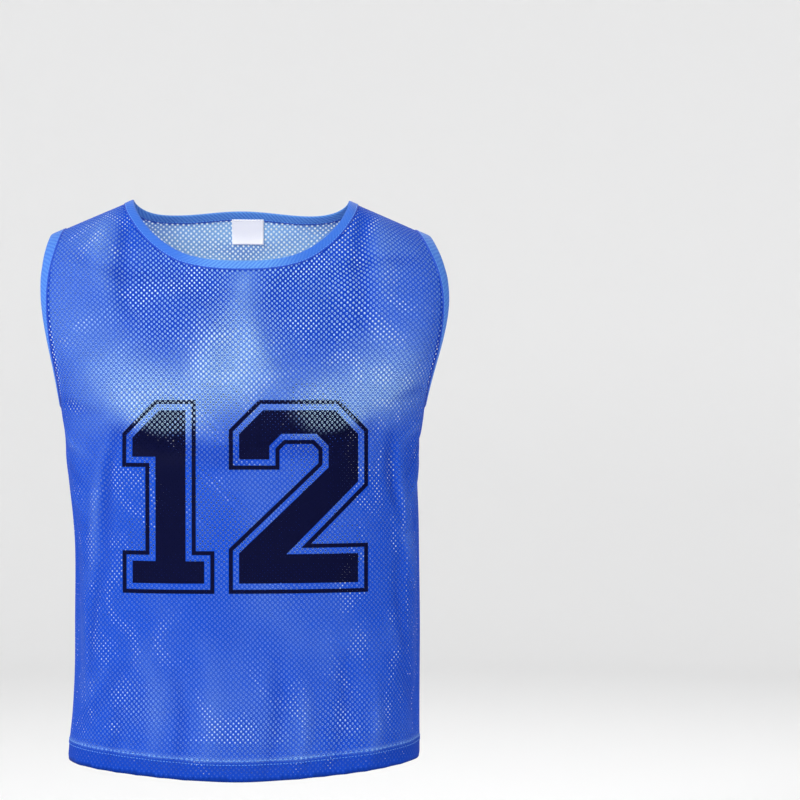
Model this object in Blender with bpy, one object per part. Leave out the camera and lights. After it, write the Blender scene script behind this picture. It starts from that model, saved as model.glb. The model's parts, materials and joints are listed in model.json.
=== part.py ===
"""A sleeveless net training bib, filled out as on a wearer but with nobody inside.

The garment is one smooth form. Below the chest it is a stack of rounded rings, and above
the chest each column of cloth rises from its ring to the shoulder line. A point of the form
is named by its side (front or back), by `across` (-1 at one side seam, 0 at the centre, 1 at
the other seam) and by `up` (0 at the hem, 1 at the chest level, 2 at the shoulder line).

The origin lies where a wearer's shoulders carry the bib: on the centre plane, level with the
highest points of the shoulder seams. The front faces -Y and +Z is up. Sizes are in millimetres.
"""
from collections import namedtuple
from math import cos, exp, pi, radians, sin

import bmesh
import bpy
import numpy as np

MILLIMETRE = 0.001

# Cloth and sewing
CLOTH_WALL = 1.2
TAPE_WALL = 2.2
TAPE_WIDTH = 12.0
SEAM_GAP = 0.3
HEM_TURN = 25.0
HEM_STEP = 1.5
HEM_LAYERS = 2
TAPE_EDGE_SHARE = 0.5

# The form below the chest
CHEST_LEVEL = -300.0
HEM_SIDE_LEVEL = -668.0
FRONT_HEM_DROP = 14.0
BACK_HEM_DROP = 26.0
SEAM_TO_CENTRE = 275.0
RING_SQUARENESS = 2.3

Section = namedtuple("Section", "level half_width front_depth back_depth shift")
SECTIONS = (
    Section(-300.0, 211.0, 120.0, 111.0, 1.0),
    Section(-340.0, 209.0, 119.0, 107.0, 3.0),
    Section(-380.0, 207.5, 117.0, 103.0, 6.0),
    Section(-420.0, 206.5, 115.0, 101.0, 7.6),
    Section(-500.0, 207.0, 112.5, 101.0, 8.0),
    Section(-560.0, 207.0, 112.0, 104.0, 7.8),
    Section(-610.0, 208.0, 112.5, 107.0, 6.5),
    Section(-650.0, 210.0, 113.5, 109.0, 4.5),
    Section(-700.0, 211.5, 114.0, 110.0, 3.0),
)

# The form above the chest
NECK_HALF_WIDTH = 129.0
SHOULDER_LENGTH = 107.0
SHOULDER_SLOPE = radians(23.4)
BACK_NECK_RISE = 19.0
ARMHOLE_FLARE_LEFT = 13.0
ARMHOLE_FLARE_RIGHT = 24.0
ARMHOLE_FLARE_LATE = 1.6
ARMHOLE_FORWARD = 30.0
FLARE_START = 0.35
FLARE_FADE = 8

# Openings, in the form's own across and up
NECK_EDGE = NECK_HALF_WIDTH / SEAM_TO_CENTRE
ARMHOLE_EDGE = (NECK_HALF_WIDTH + SHOULDER_LENGTH) / SEAM_TO_CENTRE
FRONT_NECK_DROP = 0.467
BACK_NECK_DROP = 0.269
FRONT_NECK_SQUARENESS = 2.7
BACK_NECK_SQUARENESS = 3.0
UNDERARM_UP = 0.165
ARMHOLE_SQUARENESS = 3.2

# A point in the air of each opening, which tells the cloth's side of an edge from the other
NECK_HOLLOW = np.array((0.0, 0.0, 40.0))
ARMHOLE_HOLLOW_X = 300.0
ARMHOLE_HOLLOW_Z = -140.0

# Label, inside the back neck
LABEL_HEIGHT = 34.0
LABEL_WALL = 1.0
LABEL_GAP = 0.4

# Mesh fineness
NECK_STEPS = 10
SHOULDER_STEPS = 5
ARMHOLE_STEPS = 12
UNDERARM_CROWDING = 1.5
PANEL_ROWS = 26
ROW_CROWDING = 0.8
SHOULDER_FOOT = 0.72
NECK_FOOT = 0.53
COLUMN_BEND = 2
RING_SAMPLES = 2000

# Soft folds. Each runs from a low point to a high point; `out` is positive on a ridge
Fold = namedtuple("Fold", "side low_across low_up high_across high_up width out")
FOLDS = (
    Fold("front", -0.70, 0.18, -0.80, 1.02, 26.0, 4.0),
    Fold("front", -0.86, 0.30, -0.93, 1.00, 20.0, -4.0),
    Fold("front", 0.74, 0.35, 0.86, 1.06, 26.0, 4.5),
    Fold("front", 0.88, 0.10, 0.94, 0.90, 20.0, -3.5),
    Fold("front", -0.42, 0.00, -0.50, 0.42, 34.0, -3.0),
    Fold("front", 0.30, 0.00, 0.40, 0.38, 36.0, -3.0),
    Fold("front", -0.08, 0.00, -0.04, 0.30, 40.0, 3.0),
    Fold("front", 0.56, 0.00, 0.60, 0.46, 32.0, 3.0),
    Fold("front", -0.60, 1.30, -0.28, 1.52, 24.0, -3.0),
    Fold("front", 0.58, 1.28, 0.30, 1.50, 24.0, -3.0),
    Fold("back", -0.72, 0.26, -0.82, 1.04, 26.0, 4.5),
    Fold("back", 0.70, 0.20, 0.80, 1.00, 28.0, 4.0),
    Fold("back", 0.88, 0.30, 0.93, 0.98, 20.0, -3.5),
    Fold("back", -0.89, 0.12, -0.94, 0.92, 20.0, -4.0),
    Fold("back", -0.34, 0.00, -0.40, 0.44, 36.0, -3.0),
    Fold("back", 0.40, 0.00, 0.46, 0.36, 34.0, -3.0),
    Fold("back", 0.06, 0.00, 0.03, 0.34, 42.0, 3.0),
    Fold("back", -0.72, 1.45, -0.34, 1.68, 24.0, 4.0),
    Fold("back", 0.72, 1.43, 0.36, 1.66, 24.0, 4.0),
    Fold("back", -0.74, 1.28, -0.42, 1.46, 26.0, -4.0),
    Fold("back", 0.74, 1.30, 0.44, 1.48, 26.0, -4.0),
)
FOLD_ROW_HEIGHT = 368.0
FOLD_SWELL_AT_HEM = 0.25
SEAM_CALM = 0.08

OUTWARD = {"front": -1.0, "back": 1.0}
NET_BLUE = (0.03, 0.12, 0.68)
TAPE_BLUE = (0.02, 0.10, 0.62)
LABEL_WHITE = (0.86, 0.86, 0.84)


def smooth_step(value):
    """0 below 0, 1 above 1 and an S curve between."""
    part = min(1.0, max(0.0, value))
    return part * part * (3.0 - 2.0 * part)


def ring_table():
    """A quarter of the ring, front to side, read by its share of arc length."""
    middle = SECTIONS[0]
    angles = np.linspace(0.0, pi / 2, RING_SAMPLES)
    sideways = np.sin(angles) ** (2.0 / RING_SQUARENESS)
    forward = np.cos(angles) ** (2.0 / RING_SQUARENESS)
    steps = np.hypot(np.diff(sideways) * middle.half_width, np.diff(forward) * middle.front_depth)
    share = np.concatenate(([0.0], np.cumsum(steps)))
    return share / share[-1], sideways, forward


RING_SHARE, RING_SIDEWAYS, RING_FORWARD = ring_table()


def section_at(level):
    """The ring's sizes at a level, read smoothly from the table."""
    levels = [row.level for row in SECTIONS]
    level = min(levels[0], max(levels[-1], level))
    last = len(SECTIONS) - 1
    row = next(i for i in range(last) if levels[i + 1] <= level)
    span = levels[row + 1] - levels[row]
    part = (level - levels[row]) / span

    def slope(index, name):
        if index in (0, last):
            return 0.0
        rise = getattr(SECTIONS[index + 1], name) - getattr(SECTIONS[index - 1], name)
        return rise / (levels[index + 1] - levels[index - 1])

    def read(name):
        low, high = getattr(SECTIONS[row], name), getattr(SECTIONS[row + 1], name)
        start, end = slope(row, name) * span, slope(row + 1, name) * span
        return (low * (1 - part) ** 2 * (1 + 2 * part) + high * part ** 2 * (3 - 2 * part)
                + start * part * (1 - part) ** 2 - end * part ** 2 * (1 - part))

    return Section(level, read("half_width"), read("front_depth"), read("back_depth"), read("shift"))


def ring_point(side, across, level):
    """A point of the ring at a level."""
    row = section_at(level)
    sideways = np.interp(abs(across), RING_SHARE, RING_SIDEWAYS)
    forward = np.interp(abs(across), RING_SHARE, RING_FORWARD)
    depth = row.front_depth if side == "front" else row.back_depth
    hand = 1.0 if across >= 0 else -1.0
    return np.array((row.shift + hand * row.half_width * sideways, OUTWARD[side] * depth * forward, level))


def shoulder_point(side, across):
    """A point of the shoulder line, which runs on unseen across the neck."""
    along = abs(across) * SEAM_TO_CENTRE
    hand = 1.0 if across >= 0 else -1.0
    if along < NECK_HALF_WIDTH:
        rise = BACK_NECK_RISE if side == "back" else 0.0
        return np.array((hand * along, 0.0, rise * (1.0 - (along / NECK_HALF_WIDTH) ** 2) ** 2))
    run = along - NECK_HALF_WIDTH
    out = NECK_HALF_WIDTH + min(run, SHOULDER_LENGTH) * cos(SHOULDER_SLOPE)
    return np.array((hand * out, 0.0, -run * sin(SHOULDER_SLOPE)))


def hem_level(side, across):
    """The hem's height: lowest at the centre."""
    drop = FRONT_HEM_DROP if side == "front" else BACK_HEM_DROP
    return HEM_SIDE_LEVEL - drop * cos(across * pi / 2) ** 2


def smooth_form(side, across, up):
    """A point of the form before its folds."""
    if up <= 1.0:
        hem = hem_level(side, across)
        return ring_point(side, across, hem + (CHEST_LEVEL - hem) * up)
    turn = (up - 1.0) * pi / 2
    rise = sin(turn)
    foot = ring_point(side, across, CHEST_LEVEL)
    top = shoulder_point(side, across)
    hand = 1.0 if across >= 0 else -1.0
    near_arm = smooth_step((abs(across) - FLARE_START) / (ARMHOLE_EDGE - FLARE_START))
    most = ARMHOLE_FLARE_LEFT if across < 0 else ARMHOLE_FLARE_RIGHT
    flare = most * sin(pi * rise ** ARMHOLE_FLARE_LATE) * near_arm
    forward = ARMHOLE_FORWARD * sin(pi * (up - 1.0)) * near_arm * (1.0 - abs(across) ** FLARE_FADE)
    return np.array((
        foot[0] + (top[0] - foot[0]) * smooth_step(rise) + hand * flare,
        foot[1] * cos(turn) + OUTWARD[side] * forward,
        foot[2] + (top[2] - foot[2]) * rise,
    ))


def fold_height(side, across, up):
    """How far the folds lift the cloth off its smooth form at a place."""
    total = 0.0
    here = np.array((across * SEAM_TO_CENTRE, up * FOLD_ROW_HEIGHT))
    for fold in FOLDS:
        if fold.side != side:
            continue
        low = np.array((fold.low_across * SEAM_TO_CENTRE, fold.low_up * FOLD_ROW_HEIGHT))
        high = np.array((fold.high_across * SEAM_TO_CENTRE, fold.high_up * FOLD_ROW_HEIGHT))
        run = high - low
        part = np.dot(here - low, run) / np.dot(run, run)
        beside = np.linalg.norm(here - low - run * min(1.0, max(0.0, part)))
        swell = 1.0
        if fold.low_up == 0.0:
            swell = sin(pi * min(1.0, max(0.0, FOLD_SWELL_AT_HEM + (1.0 - FOLD_SWELL_AT_HEM) * part)))
        total += fold.out * exp(-(beside / fold.width) ** 2) * swell
    return total * seam_calm(across)


def seam_calm(across):
    """The folds die away at the side seams, where front and back are one line."""
    return smooth_step((1.0 - abs(across)) / SEAM_CALM)


def slopes(surface, side, across, up, step=0.002):
    """How a surface's point moves with across and with up."""
    left, right = max(-1.0, across - step), min(1.0, across + step)
    low, high = max(0.0, up - step), min(2.0, up + step)
    sideways = (surface(side, right, up) - surface(side, left, up)) / (right - left)
    upward = (surface(side, across, high) - surface(side, across, low)) / (high - low)
    return sideways, upward


def outward_normal(surface, side, across, up):
    """The unit direction out of the garment."""
    sideways, upward = slopes(surface, side, across, up)
    normal = np.cross(sideways, upward) * -OUTWARD[side]
    return normal / np.linalg.norm(normal)


def form(side, across, up):
    """A point of the cloth's middle surface, folds and all."""
    lift = fold_height(side, across, up)
    return smooth_form(side, across, up) + lift * outward_normal(smooth_form, side, across, up)


def along_line(line, count, crowding=1.0):
    """Places along a line of many points: evenly by length, or closer together at its start."""
    line = np.array(line)
    steps = np.hypot(np.diff(line[:, 0]) * SEAM_TO_CENTRE, np.diff(line[:, 1]) * FOLD_ROW_HEIGHT)
    along = np.concatenate(([0.0], np.cumsum(steps)))
    wanted = along[-1] * np.linspace(0.0, 1.0, count + 1) ** crowding
    return [(float(np.interp(at, along, line[:, 0])), float(np.interp(at, along, line[:, 1]))) for at in wanted]


def quarter_curve(squareness):
    """A rounded corner from (0, 1) to (1, 0), as many points."""
    angles = np.linspace(0.0, pi / 2, RING_SAMPLES)
    power = 2.0 / squareness
    return np.sin(angles) ** power, np.maximum(0.0, np.cos(angles)) ** power


def neck_edge(side):
    """The neck opening's edge from the left shoulder seam to the right one."""
    front = side == "front"
    drop = FRONT_NECK_DROP if front else BACK_NECK_DROP
    sideways, down = quarter_curve(FRONT_NECK_SQUARENESS if front else BACK_NECK_SQUARENESS)
    down[-1] = 0.0
    right = along_line(list(zip(NECK_EDGE * sideways, 2.0 - drop * down)), NECK_STEPS)
    return [(-across, up) for across, up in right[:0:-1]] + right


def armhole_edge(hand):
    """The armhole's edge from the underarm to the shoulder seam."""
    scoop, below = quarter_curve(ARMHOLE_SQUARENESS)
    below[-1] = 0.0
    line = zip(1.0 - (1.0 - ARMHOLE_EDGE) * scoop, 2.0 - (1.0 - UNDERARM_UP) * below)
    return [(hand * across, up) for across, up in along_line(list(line), ARMHOLE_STEPS, UNDERARM_CROWDING)]


def armhole_hollow(hand):
    """A point in the air outside an armhole."""
    return np.array((hand * ARMHOLE_HOLLOW_X, 0.0, ARMHOLE_HOLLOW_Z))


def inset(side, edge, width, hollow):
    """The line that lies `width` from an opening's edge, on the cloth, away from the hollow."""
    places = [smooth_form(side, *point) for point in edge]
    line = []
    for index, (across, up) in enumerate(edge):
        before, after = places[max(0, index - 1)], places[min(len(edge) - 1, index + 1)]
        sideways, upward = slopes(smooth_form, side, across, up)
        normal = np.cross(sideways, upward) * -OUTWARD[side]
        inward = np.cross(normal, after - before)
        if up == 2.0:
            inward = sideways
        if abs(across) == 1.0:
            inward = upward
        away = np.sign(np.dot(inward, places[index] - hollow))
        inward = inward / np.linalg.norm(inward) * width * away
        move = np.linalg.lstsq(np.array((sideways, upward)).T, inward, rcond=None)[0]
        line.append((min(1.0, max(-1.0, across + move[0])), min(2.0, up + move[1])))
    return line


def panel_top(side):
    """The panel's top line: armhole, shoulder, neck, shoulder, armhole, left to right."""
    margin = TAPE_WIDTH + SEAM_GAP
    neck = inset(side, neck_edge(side), margin, NECK_HOLLOW)
    arms = {hand: inset(side, armhole_edge(hand), margin, armhole_hollow(hand)) for hand in (-1, 1)}
    middle = (NECK_EDGE + ARMHOLE_EDGE) / 2
    seam_up = 2.0 - SEAM_GAP / 2 / np.linalg.norm(slopes(smooth_form, side, middle, 2.0)[1])

    def shoulder(start, end):
        return [(start + (end - start) * step / SHOULDER_STEPS, seam_up) for step in range(1, SHOULDER_STEPS)]

    def below_seam(line):
        return [(across, min(up, seam_up)) for across, up in line]

    left, right = arms[-1], arms[1][::-1]
    return below_seam(left + shoulder(left[-1][0], neck[0][0]) + neck
                      + shoulder(neck[-1][0], right[0][0]) + right)


def panel_feet():
    """Where each column of the top line stands at the hem, left to right."""
    armhole = np.linspace(-1.0, -SHOULDER_FOOT, ARMHOLE_STEPS + 1)
    shoulder = np.linspace(-SHOULDER_FOOT, -NECK_FOOT, SHOULDER_STEPS + 1)[1:-1]
    neck = np.linspace(-NECK_FOOT, NECK_FOOT, 2 * NECK_STEPS + 1)
    left = np.concatenate((armhole, shoulder))
    return np.concatenate((left, neck, -left[::-1]))


def hem_ups():
    """The rows of the hem, with a close pair where its turned-up layer ends."""
    tall = CHEST_LEVEL - HEM_SIDE_LEVEL
    return [height / tall for height in (0.0, HEM_TURN / 2, HEM_TURN, HEM_TURN + HEM_STEP)]


def panel_grids(side):
    """A panel's outer points, inner points and outward directions, row by row from the hem."""
    seam = SEAM_GAP / 2 / SEAM_TO_CENTRE
    hem = hem_ups()
    top, feet = panel_top(side), panel_feet()
    outer, inner, normals = [], [], []
    for row in range(len(hem) + PANEL_ROWS):
        layers = HEM_LAYERS if row < len(hem) - 1 else 1
        low = hem[min(row, len(hem) - 1)]
        share = max(0, row - len(hem) + 1) / PANEL_ROWS
        places, outs = [], []
        for foot, (top_across, top_up) in zip(feet, top):
            up = low + (top_up - low) * share ** ROW_CROWDING
            across = foot + (top_across - foot) * share ** COLUMN_BEND
            across = min(1.0 - seam, max(-1.0 + seam, across))
            places.append(form(side, across, up))
            outs.append(outward_normal(form, side, across, up))
        outer.append([place + out * CLOTH_WALL / 2 for place, out in zip(places, outs)])
        inner.append([place - out * CLOTH_WALL * (layers - 0.5) for place, out in zip(places, outs)])
        normals.append(outs)
    return outer, inner, normals


def build_panel(side):
    """A panel's wall: one closed shell, twice as thick where the hem is turned up."""
    outer, inner, _ = panel_grids(side)
    return shell_between(side + "_panel", outer, inner)


def shell_between(name, outer, inner):
    """A closed solid between two grids of points."""
    mesh = bmesh.new()

    def add(grid):
        return [[mesh.verts.new(point * MILLIMETRE) for point in row] for row in grid]

    skins = (add(outer), add(inner))
    rows, columns = len(outer), len(outer[0])
    for skin in skins:
        for row in range(rows - 1):
            for column in range(columns - 1):
                mesh.faces.new((skin[row][column], skin[row][column + 1],
                                skin[row + 1][column + 1], skin[row + 1][column]))
    rim = [(0, column) for column in range(columns)]
    rim += [(row, columns - 1) for row in range(1, rows)]
    rim += [(rows - 1, column) for column in range(columns - 2, -1, -1)]
    rim += [(row, 0) for row in range(rows - 2, 0, -1)]
    for here, after in zip(rim, rim[1:] + rim[:1]):
        mesh.faces.new((skins[0][here[0]][here[1]], skins[0][after[0]][after[1]],
                        skins[1][after[0]][after[1]], skins[1][here[0]][here[1]]))
    return finish_object(name, mesh)


def tape_sections(side, edge, hollow):
    """The tape's cross-section at each station of an opening's edge."""
    half = TAPE_WALL / 2
    lines = [inset(side, edge, TAPE_WIDTH * share, hollow) if share else edge for share in (0.0, 0.5, 1.0)]
    sections = []
    for stations in zip(*lines):
        section = []
        for place, (across, up) in enumerate(stations):
            point = form(side, across, up)
            out = outward_normal(form, side, across, up)
            lift = out * half * (TAPE_EDGE_SHARE if place == 0 else 1.0)
            section.append((point + lift, point - lift))
        outer = [pair[0] for pair in section]
        inner = [pair[1] for pair in section[::-1]]
        sections.append(outer + inner)
    return sections


def build_ring(name, sections):
    """A closed ring of tape through its cross-sections."""
    mesh = bmesh.new()
    rings = [[mesh.verts.new(point * MILLIMETRE) for point in section] for section in sections]
    for here, after in zip(rings, rings[1:] + rings[:1]):
        for index in range(len(here)):
            following = (index + 1) % len(here)
            mesh.faces.new((here[index], here[following], after[following], after[index]))
    return finish_object(name, mesh)


def build_neck_binding():
    """The tape round the neck: along the front, then back along the back."""
    front = tape_sections("front", neck_edge("front"), NECK_HOLLOW)
    back = tape_sections("back", neck_edge("back"), NECK_HOLLOW)
    return build_ring("neck_binding", front + back[::-1][1:-1])


def build_armhole_binding(name, hand):
    """The tape round one armhole: up the front edge, then down the back edge."""
    front = tape_sections("front", armhole_edge(hand), armhole_hollow(hand))
    back = tape_sections("back", armhole_edge(hand), armhole_hollow(hand))
    return build_ring(name, front + back[::-1][1:-1])


def build_label():
    """The label: the back panel's own inner points below the neck tape, moved inwards."""
    _, skin, normals = panel_grids("back")
    centre = len(skin[0]) // 2
    columns = range(centre - 1, centre + 2)
    near, far = [], []
    left = LABEL_HEIGHT
    for row in range(len(skin) - 1, 0, -1):
        drop = np.linalg.norm(skin[row][centre] - skin[row - 1][centre])
        near.append([skin[row][column] - normals[row][column] * LABEL_GAP for column in columns])
        if left <= drop:
            share = left / drop
            low = [skin[row - 1][column] - normals[row - 1][column] * LABEL_GAP for column in columns]
            near.append([high + (foot - high) * share for high, foot in zip(near[-1], low)])
            break
        left -= drop
    for line in near:
        far.append([point - normals[-2][column] * LABEL_WALL for point, column in zip(line, columns)])
    return shell_between("neck_label", near, far)


def finish_object(name, mesh):
    """Turns a bmesh into a scene object with its faces pointing out."""
    bmesh.ops.recalc_face_normals(mesh, faces=mesh.faces)
    if mesh.calc_volume(signed=True) < 0.0:
        bmesh.ops.reverse_faces(mesh, faces=mesh.faces)
    data = bpy.data.meshes.new(name)
    mesh.to_mesh(data)
    mesh.free()
    data.shade_smooth()
    item = bpy.data.objects.new(name, data)
    bpy.context.scene.collection.objects.link(item)
    return item


def cloth_material(name, colour, roughness):
    """A plain cloth finish."""
    material = bpy.data.materials.new(name)
    material.use_nodes = True
    shader = material.node_tree.nodes["Principled BSDF"]
    shader.inputs["Base Color"].default_value = (*colour, 1.0)
    shader.inputs["Roughness"].default_value = roughness
    shader.inputs["Metallic"].default_value = 0.0
    return material


def main():
    for item in list(bpy.data.objects):
        bpy.data.objects.remove(item, do_unlink=True)
    net = cloth_material("net_cloth", NET_BLUE, roughness=0.75)
    tape = cloth_material("binding_tape", TAPE_BLUE, roughness=0.8)
    label = cloth_material("label_cloth", LABEL_WHITE, roughness=0.6)
    for side in ("front", "back"):
        build_panel(side).data.materials.append(net)
    build_neck_binding().data.materials.append(tape)
    build_armhole_binding("armhole_binding_left", -1).data.materials.append(tape)
    build_armhole_binding("armhole_binding_right", 1).data.materials.append(tape)
    build_label().data.materials.append(label)


main()
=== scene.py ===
"""The looks of a mesh training bib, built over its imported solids.

The cloth follows the same form as the solids. A point of the form is named by its side (front
or back), by `across` (-1 at one side seam, 0 at the centre, 1 at the other seam) and by `up`
(0 at the hem, 1 at the chest level, 2 at the shoulder line). The flat pattern of a panel is
measured along the cloth from the centre line and from the chest level.

The front faces -Y and +Z is up. Sizes are in millimetres until a mesh is made.
"""
import json
from collections import namedtuple
from math import cos, pi, radians, sin

import bpy
import numpy as np
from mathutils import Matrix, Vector

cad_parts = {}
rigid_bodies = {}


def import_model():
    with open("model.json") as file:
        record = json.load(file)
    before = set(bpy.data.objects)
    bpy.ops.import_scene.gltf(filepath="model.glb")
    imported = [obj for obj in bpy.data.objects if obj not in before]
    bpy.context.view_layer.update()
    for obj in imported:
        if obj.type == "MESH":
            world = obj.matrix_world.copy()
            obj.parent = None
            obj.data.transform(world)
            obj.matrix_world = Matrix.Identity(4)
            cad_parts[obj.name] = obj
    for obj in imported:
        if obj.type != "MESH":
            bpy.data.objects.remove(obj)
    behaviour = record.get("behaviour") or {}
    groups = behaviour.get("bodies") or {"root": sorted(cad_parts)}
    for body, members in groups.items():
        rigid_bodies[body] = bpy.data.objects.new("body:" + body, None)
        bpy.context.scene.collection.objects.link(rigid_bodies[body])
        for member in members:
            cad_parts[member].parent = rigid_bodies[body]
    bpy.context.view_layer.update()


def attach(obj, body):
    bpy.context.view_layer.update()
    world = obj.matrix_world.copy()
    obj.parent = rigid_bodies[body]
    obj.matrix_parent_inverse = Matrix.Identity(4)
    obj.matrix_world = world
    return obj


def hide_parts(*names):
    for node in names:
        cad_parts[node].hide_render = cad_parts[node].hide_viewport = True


MILLIMETRE = 0.001

# The form below the chest
CHEST_LEVEL = -300.0
HEM_SIDE_LEVEL = -668.0
HEM_DROP = {"front": 14.0, "back": 26.0}
SEAM_TO_CENTRE = 275.0
RING_SQUARENESS = 2.3
RING_SAMPLES = 2000

Section = namedtuple("Section", "level half_width front_depth back_depth shift")
SECTIONS = (
    Section(-300.0, 211.0, 120.0, 111.0, 1.0),
    Section(-340.0, 209.0, 119.0, 107.0, 3.0),
    Section(-380.0, 207.5, 117.0, 103.0, 6.0),
    Section(-420.0, 206.5, 115.0, 101.0, 7.6),
    Section(-500.0, 207.0, 112.5, 101.0, 8.0),
    Section(-560.0, 207.0, 112.0, 104.0, 7.8),
    Section(-610.0, 208.0, 112.5, 107.0, 6.5),
    Section(-650.0, 210.0, 113.5, 109.0, 4.5),
    Section(-700.0, 211.5, 114.0, 110.0, 3.0),
)

# The form above the chest
NECK_HALF_WIDTH = 129.0
SHOULDER_LENGTH = 107.0
SHOULDER_SLOPE = radians(23.4)
BACK_NECK_RISE = 19.0
ARMHOLE_FLARE_LEFT = 13.0
ARMHOLE_FLARE_RIGHT = 24.0
ARMHOLE_FLARE_LATE = 1.6
ARMHOLE_FORWARD = 30.0
FLARE_START = 0.35
FLARE_FADE = 8

# Openings, in the form's own across and up
NECK_EDGE = NECK_HALF_WIDTH / SEAM_TO_CENTRE
ARMHOLE_EDGE = (NECK_HALF_WIDTH + SHOULDER_LENGTH) / SEAM_TO_CENTRE
NECK_DROP = {"front": 0.467, "back": 0.269}
NECK_SQUARENESS = {"front": 2.7, "back": 3.0}
UNDERARM_UP = 0.165
ARMHOLE_SQUARENESS = 3.2
NECK_HOLLOW = np.array((0.0, 0.0, 40.0))
ARMHOLE_HOLLOW_X = 300.0
ARMHOLE_HOLLOW_Z = -140.0

# Folds of each side. A row is the across and up of the low point and of the high point, the
# width, and how far out the fold stands, positive on a ridge
FOLDS = {
    "front": (
        (-0.70, 0.18, -0.80, 1.02, 26, 4),
        (-0.86, 0.30, -0.93, 1.00, 20, -4),
        (0.74, 0.35, 0.86, 1.06, 26, 4.5),
        (0.88, 0.10, 0.94, 0.90, 20, -3.5),
        (-0.42, 0.00, -0.50, 0.42, 34, -3),
        (0.30, 0.00, 0.40, 0.38, 36, -3),
        (-0.08, 0.00, -0.04, 0.30, 40, 3),
        (0.56, 0.00, 0.60, 0.46, 32, 3),
        (-0.60, 1.30, -0.28, 1.52, 24, -3),
        (0.58, 1.28, 0.30, 1.50, 24, -3),
    ),
    "back": (
        (-0.72, 0.26, -0.82, 1.04, 26, 4.5),
        (0.70, 0.20, 0.80, 1.00, 28, 4),
        (0.88, 0.30, 0.93, 0.98, 20, -3.5),
        (-0.89, 0.12, -0.94, 0.92, 20, -4),
        (-0.34, 0.00, -0.40, 0.44, 36, -3),
        (0.40, 0.00, 0.46, 0.36, 34, -3),
        (0.06, 0.00, 0.03, 0.34, 42, 3),
        (-0.72, 1.45, -0.34, 1.68, 24, 4),
        (0.72, 1.43, 0.36, 1.66, 24, 4),
        (-0.74, 1.28, -0.42, 1.46, 26, -4),
        (0.74, 1.30, 0.44, 1.48, 26, -4),
    ),
}
FOLD_ROW_HEIGHT = 368.0
FOLD_FADE_FROM = 0.25
FOLD_FADE_SPAN = 0.75
SEAM_CALM = 0.08

# Finer creases on the flat pattern. A row is the x and y of one end and of the other, the width,
# and how far out the crease stands, positive on a ridge
CREASES = {
    "front": (
        (-150, 20, -178, -110, 7, -3.9),
        (-166, 0, -196, -150, 9, 3.3),
        (-178, -120, -200, -262, 8, -2.7),
        (186, 18, 206, -92, 8, -4.2),
        (202, 0, 222, -150, 10, 3),
        (196, -110, 206, -250, 9, -2.4),
        (-150, 24, -58, 2, 13, -4.8),
        (-58, 2, 34, 6, 14, -3.9),
        (34, 6, 160, 26, 13, -4.8),
        (-140, 60, -50, 38, 20, 3.9),
        (50, 40, 152, 62, 20, 3.9),
        (0, 190, -46, 62, 15, 3),
        (2, 186, 50, 66, 15, 2.7),
        (-128, 318, -134, 160, 9, -3.3),
        (-158, 300, -152, 172, 13, 2.7),
        (146, 316, 140, 150, 9, -3.3),
        (172, 296, 164, 170, 12, 2.4),
        (-196, 236, -96, 206, 9, -2.4),
        (202, 230, 104, 212, 9, -2.4),
        (-92, 232, -28, 176, 12, -2.4),
        (98, 236, 36, 176, 12, -2.5),
        (-258, 44, -186, -8, 5.5, 2.2),
        (-262, 20, -196, -44, 5, -2),
        (-264, -6, -206, -74, 5.5, 1.8),
        (-264, -34, -214, -96, 5, -1.5),
        (-256, 74, -170, 44, 6.5, -2.1),
        (258, 46, 200, 6, 5.5, 2.1),
        (262, 22, 210, -30, 5, -2.1),
        (263, -8, 216, -62, 5.5, 1.8),
        (264, -36, 222, -90, 5, -1.7),
        (256, 78, 182, 58, 6.5, -2),
        (-112, -372, -124, -236, 12, 2.5),
        (-80, -372, -86, -262, 9, -2.2),
        (-46, -374, -52, -222, 12, 2.1),
        (26, -376, 34, -240, 10, -2.4),
        (62, -374, 66, -268, 9, 2.2),
        (104, -372, 118, -246, 11, -2.4),
        (150, -368, 158, -280, 9, 2.2),
        (-170, -368, -160, -290, 9, -2.1),
        (-232, -330, -150, -250, 10, -1.8),
        (238, -322, 176, -240, 10, -1.8),
    ),
    "back": (
        (-158, 30, -184, -120, 7, -3.6),
        (-176, 4, -204, -160, 9, 3),
        (170, 22, 192, -104, 8, -3.8),
        (190, 0, 214, -150, 9, 3),
        (-216, 150, -96, 226, 11, 3.6),
        (-222, 112, -110, 182, 10, -3.3),
        (-226, 84, -130, 140, 10, 2.7),
        (216, 156, 92, 232, 11, 3.6),
        (222, 118, 106, 188, 10, -3.3),
        (228, 88, 136, 146, 10, 2.7),
        (-60, 262, 62, 264, 14, -2.4),
        (0, 236, -4, 90, 16, -2.7),
        (-258, 48, -192, 4, 5.5, -2.1),
        (-262, 20, -204, -40, 5, 1.8),
        (-264, -10, -210, -78, 5.5, -1.7),
        (258, 50, 190, 0, 5.5, 2.1),
        (262, 24, 202, -36, 5, -1.8),
        (264, -8, 212, -70, 5.5, 1.7),
        (-120, -384, -112, -250, 11, -2.4),
        (-74, -388, -66, -280, 10, 2.2),
        (-16, -390, -22, -236, 12, -2.2),
        (52, -388, 44, -262, 10, 2.2),
        (98, -386, 112, -240, 11, -2.4),
        (156, -380, 150, -288, 9, 2.1),
    ),
}
CREASE_CALM = 16.0
CREASE_BEND = 0.8
CREASE_FADE_FROM = 0.12
CREASE_FADE_SPAN = 0.76

# Pattern chart
CHART_COLUMNS = 241
CHART_ROWS = 401
CHART_STEP = 2.0
CHART_SPACING = 2 * SEAM_TO_CENTRE / (CHART_COLUMNS - 1)
SLOPE_STEP = 0.002

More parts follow.
